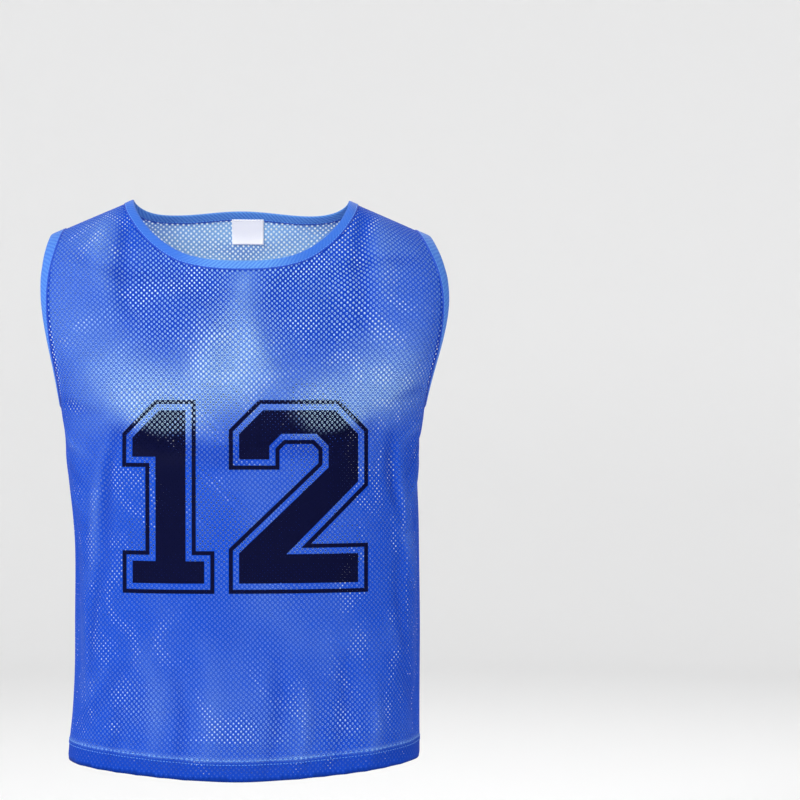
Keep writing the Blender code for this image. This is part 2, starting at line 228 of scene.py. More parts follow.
# Net: hexagonal holes in staggered rows. The looseness widens the cells of each side's net, so
# that the two nets don't form rings where one is seen through the other
NET_CELL_WIDTH = 2 * SEAM_TO_CENTRE / 108
NET_ROW_HEIGHT = 2.6
NET_LOOSENESS = {"front": 1.20, "back": 1.29}
HOLE_HALF_WIDTH = 1.0
HOLE_SIDE = 0.52
HOLE_HALF_HEIGHT = 1.2
HOLE_EVEN = {"front": 0.60, "back": 0.47}
HOLE_STRETCHED = 0.20
HOLE_INKED = 0.22
HOLE_UNEVEN = 0.12
HOLE_WANDER = 0.30
HOLE_IN_HEM = {"outer": 0.50, "inner": 0.30}
HEM_FOLD_SNAP = 4.6
HEM_FOLD_CLOSED = 5.2
HOLE_CLOSED = 0.05
HOLE_AT_SEAM = 0.08
SEAM_STRIP = 6.0
NET_UNDER_TAPE = 5.0
NET_SEED = {"front": 12, "back": 21}
PRINT_OPENS_AT = 0.32
# Where the painted light is stronger than this, pale rims of painted light show through the print
PRINT_SHOWS_LIGHT_AT = 0.22
# Painted shade where the hem is doubled, beside the tapes and in crease troughs; the doubled hem also
# shows fewer painted light dots
HEM_SHADE = 0.36
HEM_CALM = 0.55
TAPE_SHADE = 0.85
TAPE_SHADOW = 2.2
# A painted highlight on the ridges of the creases
RIDGE_HIGHLIGHT = 0.035
TROUGH_SHADE = 0.10
HEM_TURN = 25.0
HEM_ROUND = 1.5
HEM_LAYER = 1.8
HEM_RIDGE_AT = 22.3
HEM_RIDGE = 0.7
HEM_RIDGE_HALF_WIDTH = 2.6
# A painted highlight along the top edge of the turned-up hem
HEM_LINE_AT = 25.0
HEM_LINE_HIGHLIGHT = 0.32
HEM_LINE_HALF_WIDTH = 2.0

# Slow waves in the net's grain. A row is the x and y wavelengths, the phase, and how far the
# wave shifts the net in x and y
WAVES = {
    "front": (
        (173, 127, 0.4, 0.68, 0.41),
        (-121, 98, 2.1, 0.41, 0.59),
        (97, -211, 4, 0.36, 0.36),
        (67, 83, 1.2, 0.18, 0.23),
    ),
    "back": (
        (151, 141, 3.3, 0.63, 0.45),
        (-109, 118, 0.9, 0.45, 0.54),
        (88, -187, 5.2, 0.32, 0.41),
        (61, 91, 2.7, 0.18, 0.23),
    ),
}

# Painted light and shade on the flat pattern. `light` is painted light that makes the net paler,
# or painted shade where it is below 0; where it is high the holes also open wider, as in stretched
# net. `dots` sets how strongly the holes stand out: pale rims round them, painted light seen
# through them, and darker knots between them. `above` and `below` say how far a patch reaches up
# and down
Patch = namedtuple("Patch", "x y half_width above below light dots")
PATCHES = {
    "front": (
        (0, 190, 330, 190, 150, 0.12, 0.22),
        (-12, 92, 42, 64, 50, 0.46, 0.10),
        (-140, 78, 62, 50, 40, 0.30, 0.22),
        (-86, 52, 46, 40, 38, 0.36, 0.25),
        (98, 50, 46, 40, 38, 0.36, 0.25),
        (168, 74, 56, 52, 36, 0.40, 0.22),
        (-92, 178, 40, 62, 56, -0.20, 0.80),
        (104, 178, 42, 62, 58, -0.20, 0.80),
        (-38, 192, 24, 50, 60, -0.08, 0.75),
        (46, 190, 24, 50, 60, -0.08, 0.70),
        (4, 206, 15, 50, 30, 0.12, -0.25),
        (-124, 282, 22, 50, 40, -0.16, -0.25),
        (132, 282, 22, 50, 40, -0.16, -0.25),
        (-176, 262, 40, 36, 50, 0.12, 0),
        (176, 250, 34, 40, 50, 0.06, 0.10),
        (-200, 150, 44, 60, 60, 0.06, 0),
        (0, -300, 130, 110, 120, 0.05, 0.10),
        (40, -120, 60, 90, 90, 0.05, 0.15),
        (-130, -300, 34, 34, 26, 0, 0.35),
        (118, -318, 40, 40, 26, 0, 0.30),
        (8, -322, 46, 26, 22, 0, 0.30),
        (-252, -180, 34, 220, 200, -0.06, -0.22),
        (250, -180, 38, 220, 200, -0.10, -0.24),
    ),
    "back": (
        (0, 180, 340, 190, 150, 0.26, 0.05),
        (-98, 140, 62, 80, 90, 0.36, 0.20),
        (98, 140, 62, 80, 90, 0.34, 0.20),
        (0, 120, 50, 70, 70, 0.18, 0.10),
        (0, 252, 150, 70, 62, 0.85, -0.15),
        (-184, 205, 34, 46, 60, -0.16, 0.20),
        (184, 205, 34, 46, 60, -0.16, 0.20),
        (0, -290, 130, 110, 120, 0.06, 0.15),
        (190, -200, 30, 160, 140, 0, 0.35),
    ),
}
DOTS_EVERYWHERE = 0.30

# The printed number. Each digit is drawn as overlapping convex parts
DIGIT_HEIGHT = 224.0
ONE_WIDTH = 107.0
TWO_WIDTH = 162.0
DIGIT_GAP = 16.5
LIMB = 58.5
ONE_FOOT = 49.5
ONE_STEM_LEFT = 27.0
ONE_FLAG_LOW = 146.5
ONE_CHAMFER = 38.5
TWO_FOOT = 57.5
TWO_TOP_BAR = 51.0
TWO_HOOK_LOW = 143.5
TWO_CHAMFER = 34.5
TWO_INNER_CHAMFER = 7.0
TWO_SLANT_FOOT = 52.0
TWO_SLANT_TOP = 151.0
TWO_SLANT_RIGHT = 95.0
OUTLINE_INK = 4.8
OUTLINE_GAP = 7.0
NUMBER_CENTRE = {"front": 5.7, "back": -3.0}
NUMBER_FOOT = {"front": -464.4, "back": -443.0}

# Bindings
TAPE_WIDTH = 12.0
TAPE_STITCH = 10.2
TAPE_OUTER_FACE = (
    (0.0, 0.0), (0.3, 0.55), (1.1, 0.95), (2.5, 1.08), (5.0, 1.12), (8.0, 1.08),
    (9.6, 0.95), (10.2, 0.78), (10.8, 0.95), (11.6, 0.92), (12.0, 0.5),
)
TAPE_SMOOTHING = 2
NECK_STATIONS = 70
ARMHOLE_STATIONS = 110
# Painted shade on the front of each tape, out towards the shoulders
TAPE_PAINTED_SHADE = {"neck_tape": 0.85, "armhole_tape_left": 0.45, "armhole_tape_right": 0.45}
TAPE_PAINTED_SHADE_FROM = 24.0
TAPE_PAINTED_SHADE_OVER = 60.0

# Threads
STITCH_LENGTH = 2.8
STITCH_GAP = 0.9
STITCH_DIPS = np.array((-0.35, 0.12, 0.2, 0.12, -0.35))
STITCH_GIRTHS = np.array((0.7, 1.0, 1.0, 1.0, 0.7))
THREAD_RADIUS = 0.42
THREAD_LIFT = 0.25
OUTWARD_STEP = 1.0
HEM_STITCH_ROWS = (20.0, 24.6)
HEM_STITCH_ENDS = 1.0
HEM_STITCH_POINTS = 400
TAPE_STITCH_LIFT = 0.85

# Seam allowances: steps in from the seam and off the cloth
SEAM_PROFILE = ((0.0, 0.5), (1.5, 0.75), (3.5, 0.7), (5.5, 0.6))
SEAM_PROFILE_START = 0.2
SEAM_THICKNESS = 0.7
SEAM_ABOVE_HEM = 1.0
SIDE_SEAM_POINTS = 240
SHOULDER_SEAM_POINTS = 120

# Label
LABEL_CENTRE = 7.0
LABEL_WIDTH = 39.0
LABEL_HEIGHT = 33.0
LABEL_THICKNESS = 0.35
LABEL_OFF_NET = 0.9
LABEL_BULGE = 0.5
LABEL_CURL = 1.6
LABEL_CURL_LATE = 6
LABEL_CURL_CENTRE = 0.6
LABEL_UNDER_TAPE = 0.8
LABEL_POINTS = 24
LABEL_STITCH_MARGIN = 4.0
LABEL_STITCH_DOWN = 1.6
LABEL_STITCH_LIFT = 0.15
LABEL_STITCH_POINTS = 30

# Strands of the net: how far a rim and a knot reach, as a share of a hole's half width
RIM_REACH = 0.45
KNOT_FROM = 1.15

# Net's look: slow clouds in its colour, its yarn and knots, and pale rims of painted light that show
# through its print where the painted light is strong
NET_GLOW = 0.18
CLOUD_SCALE = 0.014
CLOUD_SHARE = 0.20
SHADE_DULLS = 0.25
YARN_SCALE = 1.6
YARN_SHADE = 0.34
YARN_HEIGHT = 0.5
KNOT_SHADE = 0.75
PRINT_LIGHT_RISE = 5.0
LIT_RIM_SPREAD = 1.6
NET_ROUGHNESS = 0.66
INK_SMOOTHER = 0.10
FINE_DETAIL = 3.0

# Tape's look: slanting ribs, a painted highlight on the folded edge and painted shade along the sewn edge
RIB_SCALE = 0.125
RIB_DISTORTION = 1.4
RIB_DETAIL = 1.5
SPECKLE_SCALE = 0.9
FOLDED_EDGE = 2.6
FOLD_HIGHLIGHT_SHARE = 0.45
SEWN_EDGE_FROM = 9.8
SEWN_EDGE_SLOPE = 0.9
SEAM_SHADE_SHARE = 0.9

# Thread's and label's look
TWIST_SCALE = 2500.0
TWIST_SHADE = 0.75
WEAVE_SCALE = 1.4
WEAVE_GAP = 0.03
WEAVE_SHADE = 0.95

# Each bump's distance in metres and its strength
NET_BUMP = (0.0005, 0.8)
TAPE_BUMP = (0.0005, 0.9)
LABEL_BUMP = (0.0001, 0.4)

# Shader values that are the same all over a material
SURFACES = {
    "net": {"Specular IOR Level": 0.05},
    "binding": {"Roughness": 0.72, "Specular IOR Level": 0.25, "Sheen Weight": 0.08},
    "thread": {"Roughness": 0.5},
    "label_thread": {"Roughness": 0.5},
    "label": {"Roughness": 0.45},
    "stage": {"Roughness": 0.9, "Base Color": (0.93, 0.93, 0.93, 1.0)},
}

# Camera and lights, in metres: each light's place, size and power
SENSOR_WIDTH = 36.0
LENS = 104.4
CAMERA_PLACE = (0.03, -2.8, -0.25)
CAMERA_TARGET = (0.191, 0.0, -0.240)
LIGHTS_TARGET = (0.0, 0.0, -0.35)
LIGHTS = {
    "key": ((-2.2, -2.4, 1.6), 0.9, 92.0),
    "fill": ((0.5, -3.3, 0.1), 1.6, 24.0),
    "rear": ((0.6, 1.9, 1.9), 2.0, 30.0),
}
SKY_STRENGTH = 0.55

# Stage, in metres
STAGE_LEVEL = -1.0
STAGE_RADIUS = 3.9
STAGE_SWEEP = 1.0
STAGE_HEIGHT = 4.0
STAGE_SIDES = 96
STAGE_SWEEP_POINTS = 16

# Colours
NET_DEEP = (0.010, 0.082, 0.60)
# The painted shade darkens the net towards this colour, as do the yarn and the knots
NET_SHADE = (0.004, 0.040, 0.40)
# The painted light mixes the net towards this pale colour
NET_PALE = (0.40, 0.70, 0.97)
# Pale rims round the holes: painted light seen through them
NET_RIM_LIGHT = (0.56, 0.80, 0.98)
INK = (0.001, 0.002, 0.026)
TAPE_BLUE = (0.020, 0.115, 0.55)
TAPE_PALE = (0.135, 0.350, 0.72)
TAPE_SEAM_SHADE = (0.012, 0.060, 0.46)
THREAD_BLUE = (0.12, 0.34, 0.88)
LABEL_WHITE = (0.98, 0.98, 0.98)

# Which way y runs out of the garment; the front comes first
OUTWARD = {"front": -1.0, "back": 1.0}


def smooth_step(value):
    """0 below 0, 1 above 1 and an S curve between."""
    part = np.clip(value, 0.0, 1.0)
    return part * part * (3.0 - 2.0 * part)


def unit(vectors):
    """The vectors at a length of 1."""
    return vectors / np.linalg.norm(vectors, axis=-1, keepdims=True)


def running_length(steps):
    """The length so far, from 0, at both ends of each step."""
    return np.concatenate(([0.0], np.cumsum(steps)))


# The form


def ring_table():
    """A quarter of the ring, front to side, read by its share of arc length."""
    middle = SECTIONS[0]
    angles = np.linspace(0.0, pi / 2, RING_SAMPLES)
    sideways = np.sin(angles) ** (2.0 / RING_SQUARENESS)
    forward = np.maximum(0.0, np.cos(angles)) ** (2.0 / RING_SQUARENESS)
    steps = np.hypot(np.diff(sideways) * middle.half_width, np.diff(forward) * middle.front_depth)
    share = running_length(steps)
    return share / share[-1], sideways, forward


RING_SHARE, RING_SIDEWAYS, RING_FORWARD = ring_table()


def section_size(name, level):
    """One of the ring's sizes at some levels, read smoothly from the table."""
    levels = np.array([row.level for row in SECTIONS])[::-1]
    sizes = np.array([getattr(row, name) for row in SECTIONS])[::-1]
    slope = np.zeros_like(sizes)
    slope[1:-1] = (sizes[2:] - sizes[:-2]) / (levels[2:] - levels[:-2])
    level = np.clip(level, levels[0], levels[-1])
    row = np.clip(np.searchsorted(levels, level, side="right") - 1, 0, len(levels) - 2)
    span = levels[row + 1] - levels[row]
    part = (level - levels[row]) / span
    return (sizes[row] * (1 - part) ** 2 * (1 + 2 * part)
            + sizes[row + 1] * part ** 2 * (3 - 2 * part)
            + slope[row] * span * part * (1 - part) ** 2
            - slope[row + 1] * span * part ** 2 * (1 - part))


def ring_points(side, across, level):
    """Points of the rings at some levels."""
    sideways = np.interp(np.abs(across), RING_SHARE, RING_SIDEWAYS)
    forward = np.interp(np.abs(across), RING_SHARE, RING_FORWARD)
    x = section_size("shift", level) + np.sign(across) * section_size("half_width", level) * sideways
    y = OUTWARD[side] * section_size(side + "_depth", level) * forward
    return np.stack((x, y, level + np.zeros_like(x)), axis=-1)


def shoulder_points(side, across):
    """Points of the shoulder line, which runs on unseen across the neck."""
    along = np.abs(across) * SEAM_TO_CENTRE
    rise = BACK_NECK_RISE if side == "back" else 0.0
    run = np.maximum(0.0, along - NECK_HALF_WIDTH)
    out = np.minimum(along, NECK_HALF_WIDTH) + np.minimum(run, SHOULDER_LENGTH) * cos(SHOULDER_SLOPE)
    neck = rise * np.maximum(0.0, 1.0 - (along / NECK_HALF_WIDTH) ** 2) ** 2
    return np.stack((np.sign(across) * out, np.zeros_like(out), neck - run * sin(SHOULDER_SLOPE)), axis=-1)


def hem_level(side, across):
    """The hem's height: lowest at the centre."""
    return HEM_SIDE_LEVEL - HEM_DROP[side] * np.cos(across * pi / 2) ** 2


def smooth_form(side, across, up):
    """Points of the form before its folds."""
    across, up = np.broadcast_arrays(np.asarray(across, float), np.asarray(up, float))
    hem = hem_level(side, across)
    body = ring_points(side, across, hem + (CHEST_LEVEL - hem) * np.minimum(up, 1.0))
    foot = ring_points(side, across, np.full(across.shape, CHEST_LEVEL))
    top = shoulder_points(side, across)
    turn = np.clip(up - 1.0, 0.0, 1.0) * pi / 2
    rise = np.sin(turn)
    near_arm = smooth_step((np.abs(across) - FLARE_START) / (ARMHOLE_EDGE - FLARE_START))
    most = np.where(across < 0, ARMHOLE_FLARE_LEFT, ARMHOLE_FLARE_RIGHT)
    flare = most * np.sin(pi * rise ** ARMHOLE_FLARE_LATE) * near_arm
    forward = ARMHOLE_FORWARD * np.sin(2 * turn) * near_arm * (1.0 - np.abs(across) ** FLARE_FADE)
    yoke = np.stack((
        foot[..., 0] + (top[..., 0] - foot[..., 0]) * smooth_step(rise) + np.sign(across) * flare,
        foot[..., 1] * np.cos(turn) + OUTWARD[side] * forward,
        foot[..., 2] + (top[..., 2] - foot[..., 2]) * rise,
    ), axis=-1)
    return np.where((up <= 1.0)[..., None], body, yoke)


def fold_height(side, across, up):
    """How far the folds lift the cloth off its smooth form at some places."""
    here_x, here_y = across * SEAM_TO_CENTRE, up * FOLD_ROW_HEIGHT
    total = np.zeros(np.shape(across))
    for low_across, low_up, high_across, high_up, width, out in FOLDS[side]:
        low_x, low_y = low_across * SEAM_TO_CENTRE, low_up * FOLD_ROW_HEIGHT
        run_x = high_across * SEAM_TO_CENTRE - low_x
        run_y = high_up * FOLD_ROW_HEIGHT - low_y
        part = ((here_x - low_x) * run_x + (here_y - low_y) * run_y) / (run_x ** 2 + run_y ** 2)
        near = np.clip(part, 0.0, 1.0)
        beside = np.hypot(here_x - low_x - run_x * near, here_y - low_y - run_y * near)
        fade = 1.0
        if low_up == 0.0:
            fade = np.sin(pi * np.clip(FOLD_FADE_FROM + FOLD_FADE_SPAN * part, 0.0, 1.0))
        total = total + out * np.exp(-(beside / width) ** 2) * fade
    return total * smooth_step((1.0 - np.abs(across)) / SEAM_CALM)


def slopes(surface, side, across, up):
    """How a surface's points move with across and with up."""
    left, right = np.maximum(-1.0, across - SLOPE_STEP), np.minimum(1.0, across + SLOPE_STEP)
    low, high = np.maximum(0.0, up - SLOPE_STEP), np.minimum(2.0, up + SLOPE_STEP)
    sideways = (surface(side, right, up) - surface(side, left, up)) / (right - left)[..., None]
    upward = (surface(side, across, high) - surface(side, across, low)) / (high - low)[..., None]
    return sideways, upward


def outward_normals(surface, side, across, up):
    """The unit directions out of the garment."""
    sideways, upward = slopes(surface, side, across, up)
    return unit(np.cross(sideways, upward) * -OUTWARD[side])


def form(side, across, up):
    """Points of the cloth's middle surface, folds and all."""
    lift = fold_height(side, across, up)[..., None]
    return smooth_form(side, across, up) + lift * outward_normals(smooth_form, side, across, up)


class Chart:
    """One side's cloth, read by its place on the flat pattern."""

    def __init__(self, side):
        self.side = side
        across = np.linspace(-1.0, 1.0, CHART_COLUMNS)
        up = np.linspace(0.0, 2.0, CHART_ROWS)
        smooth = smooth_form(side, across[:, None], up[None, :])
        along = np.linalg.norm(np.diff(smooth, axis=1), axis=-1).cumsum(axis=1)
        along = np.concatenate((np.zeros((CHART_COLUMNS, 1)), along), axis=1)
        along = along - along[:, CHART_ROWS // 2][:, None]
        self.low, self.high = along[:, 0], along[:, -1]
        self.heights = np.arange(self.low.min(), self.high.max() + CHART_STEP, CHART_STEP)
        self.up = np.array([np.interp(self.heights, line, up) for line in along])
        self.across = across[:, None] + np.zeros_like(self.up)
        self.points = form(side, self.across, self.up)
        self.normals = outward_normals(form, side, self.across, self.up)
        self.neck_distance = self.distance_from(self.neck_reach())
        self.arm_distance = self.distance_from(self.arm_reach())
        self.crease()

    def crease(self):
        """Lays the finer creases into the cloth, calm towards its seams and openings."""
        x, y = self.across * SEAM_TO_CENTRE, self.heights[None, :] + np.zeros_like(self.across)
        lift = np.zeros_like(x)
        for x0, y0, x1, y1, width, out in CREASES[self.side]:
            run_x, run_y = x1 - x0, y1 - y0
            part = ((x - x0) * run_x + (y - y0) * run_y) / (run_x ** 2 + run_y ** 2)
            near = np.clip(part, 0.0, 1.0)
            bend = CREASE_BEND * width * np.sin(pi * near)
            length = np.hypot(run_x, run_y)
            beside = np.hypot(x - x0 - run_x * near - run_y / length * bend,
                              y - y0 - run_y * near + run_x / length * bend)
            fade = np.sin(pi * (CREASE_FADE_FROM + CREASE_FADE_SPAN * near))
            lift = lift + out * fade * np.exp(-(beside / width) ** 2)
        seam = np.minimum(SEAM_TO_CENTRE - np.abs(x), self.high[:, None] - y)
        edge = np.minimum(self.neck_distance, self.arm_distance) - TAPE_WIDTH
        lift = lift * smooth_step(np.minimum(seam, edge) / CREASE_CALM)
        slope_x, slope_y = np.gradient(lift, CHART_SPACING, CHART_STEP)
        sideways, upward = (unit(slope) for slope in slopes(form, self.side, self.across, self.up))
        self.lift = lift
        self.points = self.points + self.normals * lift[..., None]
        tilt = sideways * slope_x[..., None] + upward * slope_y[..., None]
        self.normals = unit(self.normals - tilt)

    def flat_area(self, turn):
        """The cut's flat area in square millimetres, its hem turn too."""
        cloth = ((self.neck_distance > 0.0) & (self.arm_distance > 0.0)
                 & (self.heights > self.low[:, None]) & (self.heights < self.high[:, None]))
        return cloth.sum() * CHART_SPACING * CHART_STEP + 2 * SEAM_TO_CENTRE * turn

    def neck_reach(self):
        """Below 1 in the neck opening and above 1 on the cloth."""
        power = NECK_SQUARENESS[self.side]
        sideways = np.abs(self.across) / NECK_EDGE
        down = (2.0 - self.up) / NECK_DROP[self.side]
        return (sideways ** power + down ** power) ** (1 / power)

    def arm_reach(self):
        """Below 1 in an armhole and above 1 on the cloth."""
        scoop = (1.0 - np.abs(self.across)) / (1.0 - ARMHOLE_EDGE)
        below = (2.0 - self.up) / (1.0 - UNDERARM_UP)
        return (scoop ** ARMHOLE_SQUARENESS + below ** ARMHOLE_SQUARENESS) ** (1 / ARMHOLE_SQUARENESS)

    def distance_from(self, reach):
        """Millimetres from the line where reach is 1, positive on the cloth."""
        sideways, upward = np.gradient(reach, CHART_SPACING, CHART_STEP)
        return (reach - 1.0) / np.maximum(1e-6, np.hypot(sideways, upward))

    def edge(self, line, x):
        """The hem's or the shoulder line's height at some places across."""
        return np.interp(x / SEAM_TO_CENTRE, self.across[:, 0], line)

    def read(self, table, x, y):
        """A table of the chart between its points, at places of the pattern."""
        column = np.clip((x / SEAM_TO_CENTRE + 1.0) / 2 * (CHART_COLUMNS - 1), 0.0, CHART_COLUMNS - 1.0)
        row = np.clip((y - self.heights[0]) / CHART_STEP, 0.0, len(self.heights) - 1.0)
        left = np.minimum(column.astype(int), CHART_COLUMNS - 2)
        low = np.minimum(row.astype(int), len(self.heights) - 2)
        right_share, high_share = column - left, row - low
        if table.ndim == 3:
            right_share, high_share = right_share[..., None], high_share[..., None]
        lower = table[left, low] * (1 - right_share) + table[left + 1, low] * right_share
        upper = table[left, low + 1] * (1 - right_share) + table[left + 1, low + 1] * right_share
        return lower * (1 - high_share) + upper * high_share

    def cloth(self, x, y):
        """The cloth's points and outward normals at places of the pattern."""
        return self.read(self.points, x, y), self.read(self.normals, x, y)


def add_object(name, data):
    """A new object in the scene."""
    item = bpy.data.objects.new(name, data)
    bpy.context.scene.collection.objects.link(item)
    return item


def make_piece(name, points, faces, material, maps=(), values=()):
    """A mesh object in metres that rides on the root body. maps are UV maps and values are
    numbers, both given point by point in millimetres."""
    data = bpy.data.meshes.new(name)
    faces = faces.tolist() if isinstance(faces, np.ndarray) else faces
    data.from_pydata((np.asarray(points) * MILLIMETRE).tolist(), [], faces)
    data.validate()
    corners = np.zeros(len(data.loops), int)
    data.loops.foreach_get("vertex_index", corners)
    for map_name, places in maps:
        layer = data.uv_layers.new(name=map_name)
        places = np.asarray(places)[corners] * MILLIMETRE
        layer.data.foreach_set("uv", places.astype(np.float32).ravel())
    for value_name, numbers in values:
        attribute = data.attributes.new(value_name, "FLOAT", "POINT")
        attribute.data.foreach_set("value", np.asarray(numbers, np.float32))
    data.shade_smooth()
    data.materials.append(material)
    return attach(add_object(name, data), "root")


def shell_faces(rows, columns):
    """The faces of a thin closed slab between two grids of points."""
    grid = np.arange(rows * columns).reshape(rows, columns)
    skin = np.stack((grid[:-1, :-1], grid[1:, :-1], grid[1:, 1:], grid[:-1, 1:]), axis=-1).reshape(-1, 4)
    rim = np.concatenate((grid[0, :], grid[1:, -1], grid[-1, -2::-1], grid[-2:0:-1, 0]))
    after = np.roll(rim, -1)
    offset = rows * columns
    sides = np.stack((rim, after, after + offset, rim + offset), axis=-1)
    return np.concatenate((skin, skin[:, ::-1] + offset, sides))


def make_shell(name, low, high, places, material):
    """A thin closed slab between two grids of points, with the same places on both."""
    points = np.concatenate((low.reshape(-1, 3), high.reshape(-1, 3)))
    return make_piece(name, points, shell_faces(*low.shape[:2]), material,
                      maps=[("pattern", np.concatenate((places, places)))])


# The number


def half_planes(corners):
    """The inner sides of a convex part with its corners in anticlockwise order, as rows (a, b, c).
    a x + b y + c is the distance in from that side."""
    sides = []
    for (x0, y0), (x1, y1) in zip(corners, corners[1:] + corners[:1]):
        length = np.hypot(x1 - x0, y1 - y0)
        a, b = (y0 - y1) / length, (x1 - x0) / length
        sides.append((a, b, -(a * x0 + b * y0)))
    return sides


def box_part(left, low, right, high):
    """An upright box's corners."""
    return [(left, low), (right, low), (right, high), (left, high)]


def digit_one():
    """The parts of a slab digit 1, from its lower left corner."""
    top, stem_right = DIGIT_HEIGHT, ONE_STEM_LEFT + LIMB
    return [
        box_part(0.0, 0.0, ONE_WIDTH, ONE_FOOT),
        box_part(ONE_STEM_LEFT, 0.0, stem_right, top - ONE_CHAMFER + ONE_STEM_LEFT),
        [(0.0, ONE_FLAG_LOW), (stem_right, ONE_FLAG_LOW), (stem_right, top), (ONE_CHAMFER, top),
         (0.0, top - ONE_CHAMFER)],
    ]


def digit_two():
    """The parts of a slab digit 2, from its lower left corner."""
    top, right, cut, small = DIGIT_HEIGHT, TWO_WIDTH, TWO_CHAMFER, TWO_INNER_CHAMFER
    limb_left, bar_low = right - LIMB, top - TWO_TOP_BAR
    limb_low = TWO_FOOT + limb_left - TWO_SLANT_RIGHT
    slant_right = (right, TWO_FOOT + right - TWO_SLANT_RIGHT)
    slant_end = limb_left + LIMB / 2
    slant_high = TWO_SLANT_FOOT + (TWO_SLANT_TOP - TWO_SLANT_FOOT) * slant_end / limb_left
    inner_high = bar_low - small
    inner_drop = (inner_high - limb_low) / 2
    chamfer = [(right, top - cut), (right - cut, top)]
    foot_turn = (TWO_FOOT - TWO_SLANT_FOOT) * slant_end / (slant_high - TWO_SLANT_FOOT)
    foot = [(0.0, 0.0), (right, 0.0), (right, TWO_FOOT), (foot_turn, TWO_FOOT), (0.0, TWO_SLANT_FOOT)]
    slant = [(0.0, 0.0), (TWO_SLANT_RIGHT - TWO_FOOT, 0.0), slant_right, (right, slant_high),
             (slant_end, slant_high), (0.0, TWO_SLANT_FOOT)]
    limb = [(limb_left, limb_low), slant_right] + chamfer + [(limb_left, top)]
    bar = [(0.0, bar_low), (right, bar_low)] + chamfer + [(cut, top), (0.0, top - cut)]
    hook = [(0.0, TWO_HOOK_LOW), (LIMB, TWO_HOOK_LOW), (LIMB, top), (cut, top), (0.0, top - cut)]
    right_corner = [(limb_left + inner_drop, inner_high - inner_drop), slant_right] + chamfer
    right_corner += [(limb_left - small - TWO_TOP_BAR, top)]
    left_corner = [(0.0, TWO_HOOK_LOW), (LIMB - inner_high + TWO_HOOK_LOW, TWO_HOOK_LOW),
                   (LIMB + small + TWO_TOP_BAR, top), (cut, top), (0.0, top - cut)]
    return [foot, slant, limb, bar, hook, right_corner, left_corner]


def number_parts():
    """The half planes of each part of the number, centred on the number's foot."""
    width = ONE_WIDTH + DIGIT_GAP + TWO_WIDTH
    starts = ((digit_one(), -width / 2), (digit_two(), -width / 2 + ONE_WIDTH + DIGIT_GAP))
    return [half_planes([(x + start, y) for x, y in part])
            for digit, start in starts for part in digit]


def number_depth(x, y):
    """How far inside the number's outer edge some places are."""
    depths = [np.min([a * x + b * y + c for a, b, c in part], axis=0) for part in number_parts()]
    return np.max(depths, axis=0)


# The net


def net_holes(chart):
    """The hole centres' places on the pattern, row by row."""
    looseness = NET_LOOSENESS[chart.side]
    width, height = NET_CELL_WIDTH * looseness, NET_ROW_HEIGHT * looseness
    half = int(SEAM_TO_CENTRE / width) + 2
    low = int((chart.low.min() - HEM_TURN) / height) - 2
    high = int(chart.high.max() / height) + 2
    rows, columns = np.meshgrid(np.arange(low, high), np.arange(-half, half), indexing="ij")
    return rows, (columns + 0.5 * (rows % 2)) * width, rows * height


def patchwork(side, x, y, field, start=0.0):
    """What the patches add up to at places of the pattern, from 0 to 1."""
    total = np.full(np.shape(x), start)
    for patch in map(Patch._make, PATCHES[side]):
        tall = np.where(y > patch.y, patch.above, patch.below)
        away = ((x - patch.x) / patch.half_width) ** 2 + ((y - patch.y) / tall) ** 2
        total = total + getattr(patch, field) * np.exp(-away)
    return np.clip(total, 0.0, 1.0)


def print_places(side, points):
    """Where points of the cloth lie on the number, which is printed square on."""
    reading = points[..., 0] * -OUTWARD[side] - NUMBER_CENTRE[side]
    return np.stack((reading, points[..., 2] - NUMBER_FOOT[side]), axis=-1)


def inked(side, points):
    """1 where the number is printed and 0 elsewhere, at points of the cloth."""
    places = print_places(side, points)
    depth = number_depth(places[..., 0], places[..., 1])
    return (((depth > 0) & (depth < OUTLINE_INK)) | (depth > OUTLINE_INK + OUTLINE_GAP)).astype(float)


def hole_opening(chart, x, y, pale):
    """How far open the holes are: closed towards the seams and under ink, and wide where the net
    is stretched."""
    to_seam = SEAM_TO_CENTRE - np.abs(x)
    to_shoulder = chart.edge(chart.high, x) - y
    clear = smooth_step(np.minimum(to_seam, to_shoulder) / SEAM_STRIP)
    size = HOLE_EVEN[chart.side] + HOLE_STRETCHED * pale
    from_hem = y - chart.edge(chart.low, x)
    size = np.where(from_hem < HEM_TURN, HOLE_IN_HEM["outer"], size)
    size = np.where(from_hem < 0.0, HOLE_IN_HEM["inner"], size)
    size = np.maximum(HOLE_CLOSED, size * smooth_step(np.abs(from_hem) / HEM_FOLD_CLOSED - 1.0))
    ink = inked(chart.side, chart.read(chart.points, x, y))
    closed = ink * (1.0 - smooth_step(pale / PRINT_OPENS_AT))
    size = size * (1.0 - closed * (1.0 - HOLE_INKED))
    return HOLE_AT_SEAM + (size - HOLE_AT_SEAM) * clear


def grain_shift(side, x, y):
    """How far the net's grain wanders from straight at places of the pattern."""
    shift_x, shift_y = np.zeros(np.shape(x)), np.zeros(np.shape(x))
    for wave_x, wave_y, phase, most_x, most_y in WAVES[side]:
        swing = np.sin(2 * pi * (x / wave_x + y / wave_y) + phase)
        shift_x = shift_x + most_x * swing
        shift_y = shift_y + most_y * swing
    return shift_x, shift_y


